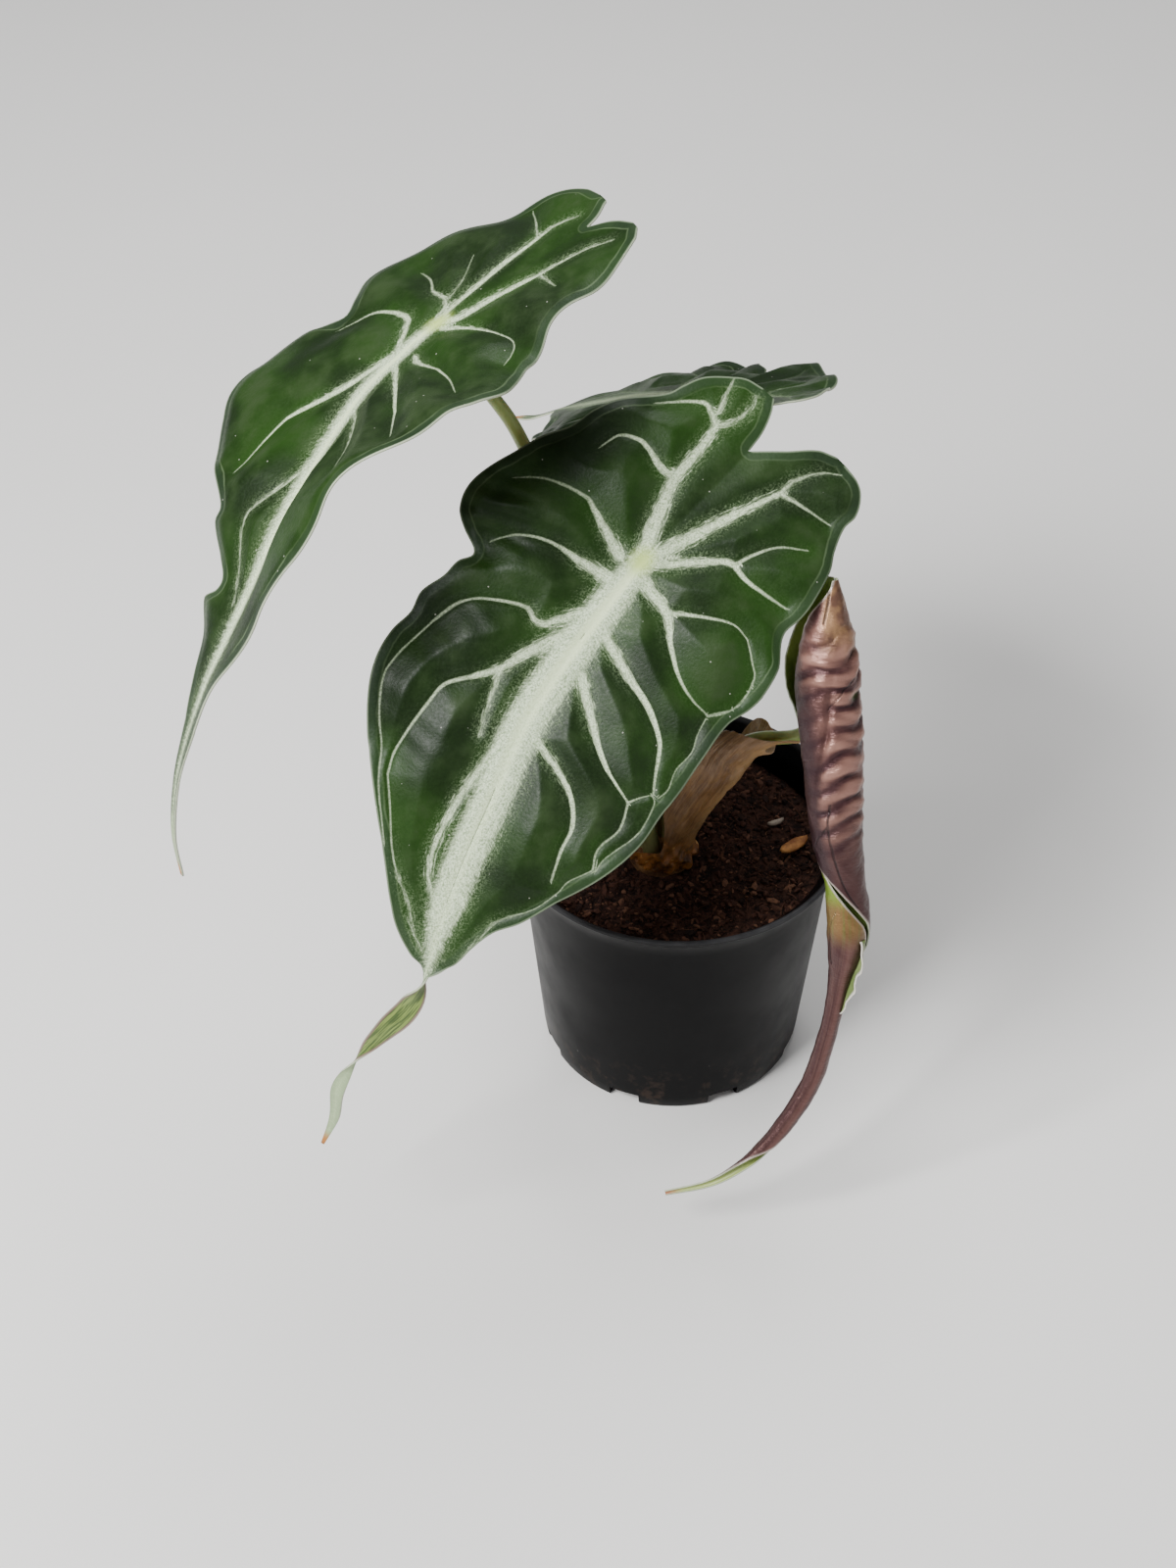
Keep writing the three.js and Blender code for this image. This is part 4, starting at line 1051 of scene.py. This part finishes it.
sheathColors = {
    "dark": (0.095, 0.039, 0.012),
    "light": (0.24, 0.118, 0.042),
    "fibre": (0.35, 0.185, 0.072),
    "thread": (0.085, 0.034, 0.011),
    # The middle colour is a painted highlight along the sheath's middle
    "middle": (0.52, 0.31, 0.14),
    "scaleDark": (0.055, 0.017, 0.004),    # orange scales at the foot
    "scale": (0.36, 0.125, 0.022),
    # The next colour is painted glints on the scales
    "scaleGlint": (0.85, 0.50, 0.18),
}


def makeSheathFinish():
    colors = sheathColors
    shader = newMaterial("sheathFinish", 0.42, Specular_IOR_Level=0.45, Subsurface_Weight=0.08)
    along, across = shader.values("along", "across")
    fibres = shader.noise(1.9, 5, 0.65, along * 0.07, across)
    threads = shader.noise(5, 3, 0.6, along * 0.03, across)
    base = shader.use(mottle, Dark=colors["dark"], Light=colors["light"], Patches=70, Grain=1600)
    color = base["Color"].mix(fibres.ramp(0.4, 0.66, 0, 0.6), colors["fibre"])
    color = color.mix(threads.ramp(0.56, 0.66, 0, 0.5), colors["thread"])
    # Painted highlight: lighter along the middle of the sheath
    color = color.mix(abs(across - 1.2).ramp(4, 0.4, 0, 0.45), colors["middle"])
    scales = shader.noise(330, 4)
    orange = shader.mix(scales.ramp(0.35, 0.62), colors["scaleDark"], colors["scale"])
    # Painted glints: bright orange flecks on the scales
    orange = orange.mix(scales.ramp(0.62, 0.7), colors["scaleGlint"])
    color = color.mix(along.ramp(15, 3) * 0.9, orange)
    height = fibres * 2 + threads * 1.2 + base["Height"]
    return shader.give(Base_Color=color, Normal=shader.bump(height, 0.55, 0.00025))


def makeSheath():
    bm = bmesh.new()
    for side in (-1, 1):
        half = rolledHalf(sheath, side)
        v, arc = half["v"], half["arc"]
        fold = np.exp(-((arc - 1.5 - 0.09 * v) / 0.9) ** 2)
        fold = fold * smoothStep(20, 34, v) * (1 - smoothStep(44, 52, v))
        low = 1 - smoothStep(3, 14, v)
        lift = wobble(v, arc, 1.9, sheath["wrinkle"]) * np.minimum(1, half["r"] / 4) * (1 + 1.2 * low)
        pleats = 0.22 * np.sin(arc * 1.25 + 0.05 * v) + 0.12 * np.sin(arc * 2.9 - 0.08 * v + 1)
        pleats = pleats * smoothStep(10, 18, v) * smoothStep(0.5, 2.5, np.abs(arc))
        lift = lift + sheath["fold"] * fold + pleats
        lift = lift + low * (0.5 * np.sin(arc * 1.1 + 0.7 * v) + 0.3 * np.sin(arc * 2.3 - 1.4 * v))
        gridPiece(bm, rolledPlace(half, lift), {"along": v, "across": arc}, side < 0)
    bmesh.ops.remove_doubles(bm, verts=bm.verts, dist=2e-6)
    makeObject("sheathWrap", bm, [makeSheathFinish()], ["sheath"], thickness=sheath["thickness"])


makeSheath()


# The crown's stem stands in the soil, under the sheath
crown = {
    "place": (-4, -4), "radius": 7.2, "top": 65.5, "foot": 46, "steps": 48,
    "dark": (0.07, 0.03, 0.012), "light": (0.30, 0.15, 0.05), "ring": (0.05, 0.02, 0.01),
}


def spinProfile(bm, profile, steps):
    verts = [bm.verts.new((r * mm, 0, z * mm)) for r, z in profile]
    edges = [bm.edges.new(pair) for pair in zip(verts, verts[1:])]
    bmesh.ops.spin(bm, geom=verts + edges, cent=(0, 0, 0), axis=(0, 0, 1), angle=2 * math.pi, steps=steps,
                   use_merge=True)
    bmesh.ops.remove_doubles(bm, verts=bm.verts, dist=1e-6)
    bmesh.ops.recalc_face_normals(bm, faces=bm.faces)


def makeCrownFinish():
    shader = newMaterial("crownFinish", 0.75, Specular_IOR_Level=0.3)
    rings = shader.add("ShaderNodeTexWave", bands_direction="Z")
    for label, value in (("Vector", shader.place()), ("Scale", 120), ("Distortion", 6)):
        shader.link(value, rings.inputs[label])
    base = shader.use(mottle, Dark=crown["dark"], Light=crown["light"], Patches=240, Grain=1500)
    color = base["Color"].mix(shader.outputs(rings)["Fac"] * 0.4, crown["ring"])
    return shader.give(Base_Color=color, Normal=shader.bump(base["Height"], 0.6, 0.0005))


def makeCrown():
    bm = bmesh.new()
    top, foot, radius = crown["top"], crown["foot"], crown["radius"]
    profile = [(0, foot), (radius - 1.5, foot), (radius, foot + 3)]
    profile += [(radius + 0.15 * math.sin(z * 2.4), z) for z in np.linspace(foot + 4, top - 3, 16)]
    profile += [(radius - 1, top - 1.6), (radius - 3, top - 0.5), (0, top)]
    spinProfile(bm, profile, crown["steps"])
    for vert in bm.verts:
        vert.co += vert.normal * 0.35 * mm * noise.noise(vert.co * 420)
    bmesh.ops.translate(bm, vec=(crown["place"][0] * mm, crown["place"][1] * mm, 0), verts=bm.verts)
    makeObject("crownStem", bm, [makeCrownFinish()], ["crown"])


makeCrown()


# The pot: thin tapered wall, flared rim, drain notches in the edge of the foot
pot = {
    "height": 70, "rimRadius": 42.5, "neckRadius": 38.6, "neckHeight": 62, "footRadius": 33, "wall": 1.1,
    "floor": 1.8, "notchCount": 8, "notchWidth": 8, "notchHeight": 3.6, "notchDepth": 4, "steps": 128,
    "black": (0.0014, 0.0014, 0.0016), "worn": (0.0042, 0.0042, 0.0047),
    # The last colour is a painted highlight along the top of the rim
    "splash": (0.085, 0.052, 0.036), "rimHighlight": (0.09, 0.09, 0.095),
}


def wallRadius(z):
    return pot["footRadius"] + (pot["neckRadius"] - pot["footRadius"]) * z / pot["neckHeight"]


def makePotFinish():
    shader = newMaterial("potFinish", Specular_IOR_Level=0.07)
    split = shader.add("ShaderNodeSeparateXYZ")
    shader.feed(split, shader.place())
    height = shader.outputs(split)["Z"]
    cloud = shader.noise(38, 4, 0.65)
    low = height.ramp(0.022, 0.002)
    color = shader.mix(cloud, pot["black"], pot["worn"])
    color = color.mix(shader.noise(260, 6, 0.7).ramp(0.5, 0.66) * (low * 0.28 + 0.004), pot["splash"])
    # Painted highlight: a lighter grey line along the top of the rim
    color = color.mix(height.ramp(0.0688, 0.0697) * cloud.ramp(0.3, 0.6, 0.2, 0.6), pot["rimHighlight"])
    color = shader.use(dust, Color=color, Amount=low * 0.4, Size=700)["Color"]
    return shader.give(Base_Color=color, Roughness=cloud.ramp(0.25, 0.75, 0.3, 0.5),
                       Normal=shader.bump(shader.noise(2600, 2), 0.12, 0.00015))


def makePot():
    h, wall = pot["height"], pot["wall"]
    neck, rim, foot = pot["neckRadius"], pot["rimRadius"], pot["footRadius"]
    outer = [(0, 0), (foot - 3.2, 0), (foot - 1.2, 0), (foot - 0.4, 0.3), (foot, 1.2)]
    outer += [(wallRadius(z), z) for z in np.linspace(4, pot["neckHeight"] - 0.6, 22)]
    lip = [(neck + 0.15, 62.8), (neck + 0.8, 65), (neck + 1.8, 67), (rim - 1, 68), (rim - 0.2, 68.6),
           (rim, 69), (rim, 69.6), (rim - 0.2, 69.9), (rim - 0.5, h), (rim - 0.9, 69.9), (rim - 1.4, 69.4),
           (neck + 0.9, 67.6)]
    inner = [(neck - wall + 0.2, 65), (neck - wall, 63)]
    inner += [(wallRadius(z) - wall, z) for z in np.linspace(60, 4, 12)]
    inner += [(wallRadius(pot["floor"]) - wall - 1, pot["floor"]), (0, pot["floor"])]
    bm = bmesh.new()
    spinProfile(bm, outer + lip + inner, pot["steps"])
    cutNotches(makeObject("potShell", bm, [makePotFinish()], ["pot"]))


def cutNotches(piece):
    cutter = bmesh.new()
    size = (2 * pot["notchDepth"] * mm, pot["notchWidth"] * mm, 2 * pot["notchHeight"] * mm)
    for k in range(pot["notchCount"]):
        turn = Matrix.Rotation(2 * math.pi * (k + 0.5) / pot["notchCount"], 3, "Z")
        made = bmesh.ops.create_cube(cutter, size=1)["verts"]
        bmesh.ops.scale(cutter, vec=size, verts=made)
        bmesh.ops.translate(cutter, vec=(pot["footRadius"] * mm, 0, 0), verts=made)
        bmesh.ops.rotate(cutter, cent=(0, 0, 0), matrix=turn, verts=made)
    cutterObject = addMesh("cutter", cutter)
    cut = piece.modifiers.new("notches", "BOOLEAN")
    cut.operation = "DIFFERENCE"
    cut.object = cutterObject
    cut.solver = "EXACT"
    bpy.context.view_layer.update()
    whole = piece.evaluated_get(bpy.context.evaluated_depsgraph_get())
    cutPot = bpy.data.meshes.new_from_object(whole)
    piece.modifiers.clear()
    piece.data = cutPot
    bpy.data.objects.remove(cutterObject)
    cutPot.polygons.foreach_set("use_smooth", [True] * len(cutPot.polygons))
    cutPot.set_sharp_from_angle(angle=math.radians(40))


makePot()


# Soil: coir and bark. A bumpy bed, then loose crumbs and fibres on it
soil = {
    "level": 61, "gap": 0.5, "rings": 46, "steps": 150, "crumbs": 3000, "batch": 60, "fibres": 70, "seed": 5,
    "dark": (0.0075, 0.0035, 0.003), "light": (0.060, 0.025, 0.016), "grain": (0.14, 0.07, 0.045),
    "crumbDark": (0.010, 0.0045, 0.0035), "crumbLight": (0.075, 0.030, 0.019),
    "crumbPale": (0.20, 0.095, 0.055), "crumbGrain": (0.03, 0.014, 0.01),
}


def makeSoilFinish():
    shader = newMaterial("soilFinish", 0.9, Specular_IOR_Level=0.2)
    coarse, fine = shader.noise(420, 4, 0.7), shader.noise(1700)
    color = shader.mix(coarse.ramp(0.36, 0.66), soil["dark"], soil["light"])
    color = color.mix(fine.ramp(0.56, 0.72) * 0.4, soil["grain"])
    return shader.give(Base_Color=color, Normal=shader.bump(coarse + fine, 0.8, 0.0006))


def makeCrumbFinish():
    shader = newMaterial("crumbFinish", 0.85, Specular_IOR_Level=0.25)
    tint = shader.values("tint")[0]
    grain = shader.noise(1900)
    color = shader.mix(tint.ramp(0, 0.55), soil["crumbDark"], soil["crumbLight"])
    color = color.mix(tint.ramp(0.7, 1), soil["crumbPale"])
    color = color.mix(grain.ramp(0.4, 0.75, 0, 0.6), soil["crumbGrain"])
    return shader.give(Base_Color=color, Normal=shader.bump(grain, 0.6, 0.0004))


def soilHeight(x, y):
    place = Vector((x, y, 0))
    rough = 0.55 * noise.noise(place * 0.28) + 0.4 * noise.noise(place * 0.75)
    rough += 0.22 * noise.noise(place * 1.7)
    return soil["level"] + 0.9 * rough


def makeSoil():
    level, rings = soil["level"], soil["rings"]
    edge = wallRadius(level) - pot["wall"] - soil["gap"]
    bottom = wallRadius(4) - pot["wall"] - soil["gap"]
    profile = [(0, 2.1), (bottom - 2.2, 2.1), (bottom, 4.4), (edge, level - 1)]
    profile += [(edge * k / rings, level) for k in range(rings, 0, -1)] + [(0, level)]
    bm = bmesh.new()
    spinProfile(bm, profile, soil["steps"])
    for vert in bm.verts:
        if vert.co.z > (level - 0.5) * mm:
            vert.co.z = soilHeight(vert.co.x / mm, vert.co.y / mm) * mm
    makeObject("soilBed", bm, [makeSoilFinish()], ["soil"])


# A random place on the soil, no further out than "edge"
def drawPlace(draw, edge):
    far = edge * math.sqrt(draw.random())
    heading = draw.uniform(0, 2 * math.pi)
    return far * math.cos(heading), far * math.sin(heading)


def crownGap(x, y):
    return math.hypot(x - crown["place"][0], y - crown["place"][1]) - crown["radius"]


# Crumbs are built in small batches, because the operators slow down as a mesh grows
def makeCrumbs(finish):
    draw = random.Random(soil["seed"])
    edge = wallRadius(soil["level"]) - pot["wall"] - soil["gap"] - 0.9
    whole = bmesh.new()
    for start in range(0, soil["crumbs"], soil["batch"]):
        bm = bmesh.new()
        tint = bm.verts.layers.float.new("tint")
        for k in range(soil["batch"]):
            x, y = drawPlace(draw, edge)
            if crownGap(x, y) < 1.6:
                continue
            size = 0.26 + 0.75 * draw.random() ** 3
            made = bmesh.ops.create_icosphere(bm, subdivisions=1, radius=size * mm)["verts"]
            shade = draw.random()
            stretch = (draw.uniform(0.7, 2.2), draw.uniform(0.5, 1.1), draw.uniform(0.4, 0.9))
            turn = Euler([draw.uniform(-0.7, 0.7), draw.uniform(-0.7, 0.7), draw.uniform(0, 6.3)])
            bmesh.ops.scale(bm, vec=stretch, verts=made)
            for vert in made:
                vert.co *= 1 + draw.uniform(-0.25, 0.25)
                vert[tint] = shade
            bmesh.ops.rotate(bm, cent=(0, 0, 0), matrix=turn.to_matrix(), verts=made)
            z = soilHeight(x, y) + size * 0.3
            bmesh.ops.translate(bm, vec=(x * mm, y * mm, z * mm), verts=made)
        batch = bpy.data.meshes.new("batch")
        bm.to_mesh(batch)
        bm.free()
        whole.from_mesh(batch)
        bpy.data.meshes.remove(batch)
    makeObject("soilCrumbs", whole, [finish], smooth=False)


def makeFibres(finish):
    draw = random.Random(soil["seed"] + 1)
    edge = wallRadius(soil["level"]) - pot["wall"] - 4
    bm = bmesh.new()
    for k in range(soil["fibres"]):
        x, y = drawPlace(draw, edge)
        heading, bend = draw.uniform(0, 2 * math.pi), draw.uniform(-0.12, 0.12)
        length, thick = draw.uniform(3, 9), draw.uniform(0.06, 0.13)
        route = []
        for step in range(9):
            if math.hypot(x, y) > edge + 2 or crownGap(x, y) < 3:
                break
            route.append((x, y, soilHeight(x, y) + 0.55 + 0.25 * math.sin(step * 0.9)))
            x += math.cos(heading) * length / 8
            y += math.sin(heading) * length / 8
            heading += bend
        if len(route) > 2:
            radius = np.full((len(route), 4), thick)
            makeTube(bm, np.array(route), radius, (0, 0, 1), {"tint": 0 * radius + 0.8})
    closeTubes(bm)
    makeObject("soilFibres", bm, [finish], smooth=False)


makeSoil()
crumbFinish = makeCrumbFinish()
makeCrumbs(crumbFinish)
makeFibres(crumbFinish)


# Two loose chips, arched like pieces of bark
chips = {
    "bark": {
        "size": (8.5, 3.4), "thickness": 0.5, "place": (29, -2, 63.1), "turn": 38,
        "light": (0.60, 0.27, 0.075), "dark": (0.24, 0.075, 0.018),
    },
    "pale": {
        "size": (4.4, 1.5), "thickness": 0.5, "place": (25, 6.5, 62.7), "turn": 24,
        "light": (0.42, 0.35, 0.28), "dark": (0.2, 0.15, 0.11),
    },
}


def makeChip(key, chip):
    shader = newMaterial(key + "ChipFinish", 0.7)
    base = shader.use(mottle, Dark=chip["dark"], Light=chip["light"], Patches=260, Grain=1900)
    finish = shader.give(Base_Color=base["Color"], Normal=shader.bump(base["Height"], 0.6, 0.0003))
    bm = bmesh.new()
    bmesh.ops.create_grid(bm, x_segments=16, y_segments=6, size=0.5)
    for vert in bm.verts:
        x, y = vert.co.x, vert.co.y
        taper = 1 - 0.75 * abs(x * 2) ** 2.6
        arch = 0.5 * (1 - (2 * y) ** 2) + 0.9 * x * x + 0.18 * noise.noise(Vector((x * 7, y * 5, 2)))
        vert.co = Vector((x * chip["size"][0], y * taper * chip["size"][1], arch)) * mm
    bmesh.ops.solidify(bm, geom=bm.faces[:] + bm.edges[:] + bm.verts[:], thickness=chip["thickness"] * mm)
    turn = Matrix.Rotation(math.radians(chip["turn"]), 3, "Z")
    bmesh.ops.rotate(bm, cent=(0, 0, 0), matrix=turn, verts=bm.verts)
    bmesh.ops.translate(bm, vec=[value * mm for value in chip["place"]], verts=bm.verts)
    bmesh.ops.recalc_face_normals(bm, faces=bm.faces)
    makeObject(key + "Chip", bm, [finish], [key + "_chip"])


for chipName, chipShape in chips.items():
    makeChip(chipName, chipShape)


# Studio: a pale floor, a large soft key light, a fill and a pale surround
studio = {
    "floor": (0.80, 0.79, 0.77),
    "floorLight": (0.84, 0.83, 0.81),
    "key": {"place": (-0.55, -0.45, 0.85), "size": 0.42, "power": 20},
    "fill": {"place": (0.65, -0.5, 0.45), "size": 0.7, "power": 1.2},
    "back": {"place": (0.05, 0.45, 1.0), "size": 0.5, "power": 6},
    "aim": (0, 0, 0.11),
    "surround": 0.2,
    "surroundColor": (0.95, 0.96, 1),
}


def makeFloor():
    shader = newMaterial("floorPaper", 0.85)
    shader.give(Base_Color=shader.mix(shader.noise(9, 2), studio["floor"], studio["floorLight"]))
    bm = bmesh.new()
    bmesh.ops.create_grid(bm, x_segments=2, y_segments=2, size=6)
    floor = addMesh("floor", bm, [shader.owner])


def makeLights():
    for name in ("key", "fill", "back"):
        spec = studio[name]
        data = bpy.data.lights.new(name, "AREA")
        data.energy = spec["power"]
        data.size = spec["size"]
        light = bpy.data.objects.new(name, data)
        light.location = spec["place"]
        aim = Vector(studio["aim"]) - Vector(spec["place"])
        light.rotation_euler = aim.to_track_quat("-Z", "Y").to_euler()
        bpy.context.collection.objects.link(light)
    world = bpy.data.worlds.new("surround")
    world.use_nodes = True
    background = world.node_tree.nodes["Background"]
    background.inputs[0].default_value = (*studio["surroundColor"], 1)
    background.inputs[1].default_value = studio["surround"]
    bpy.context.scene.world = world


makeFloor()
makeLights()
print("made studio")
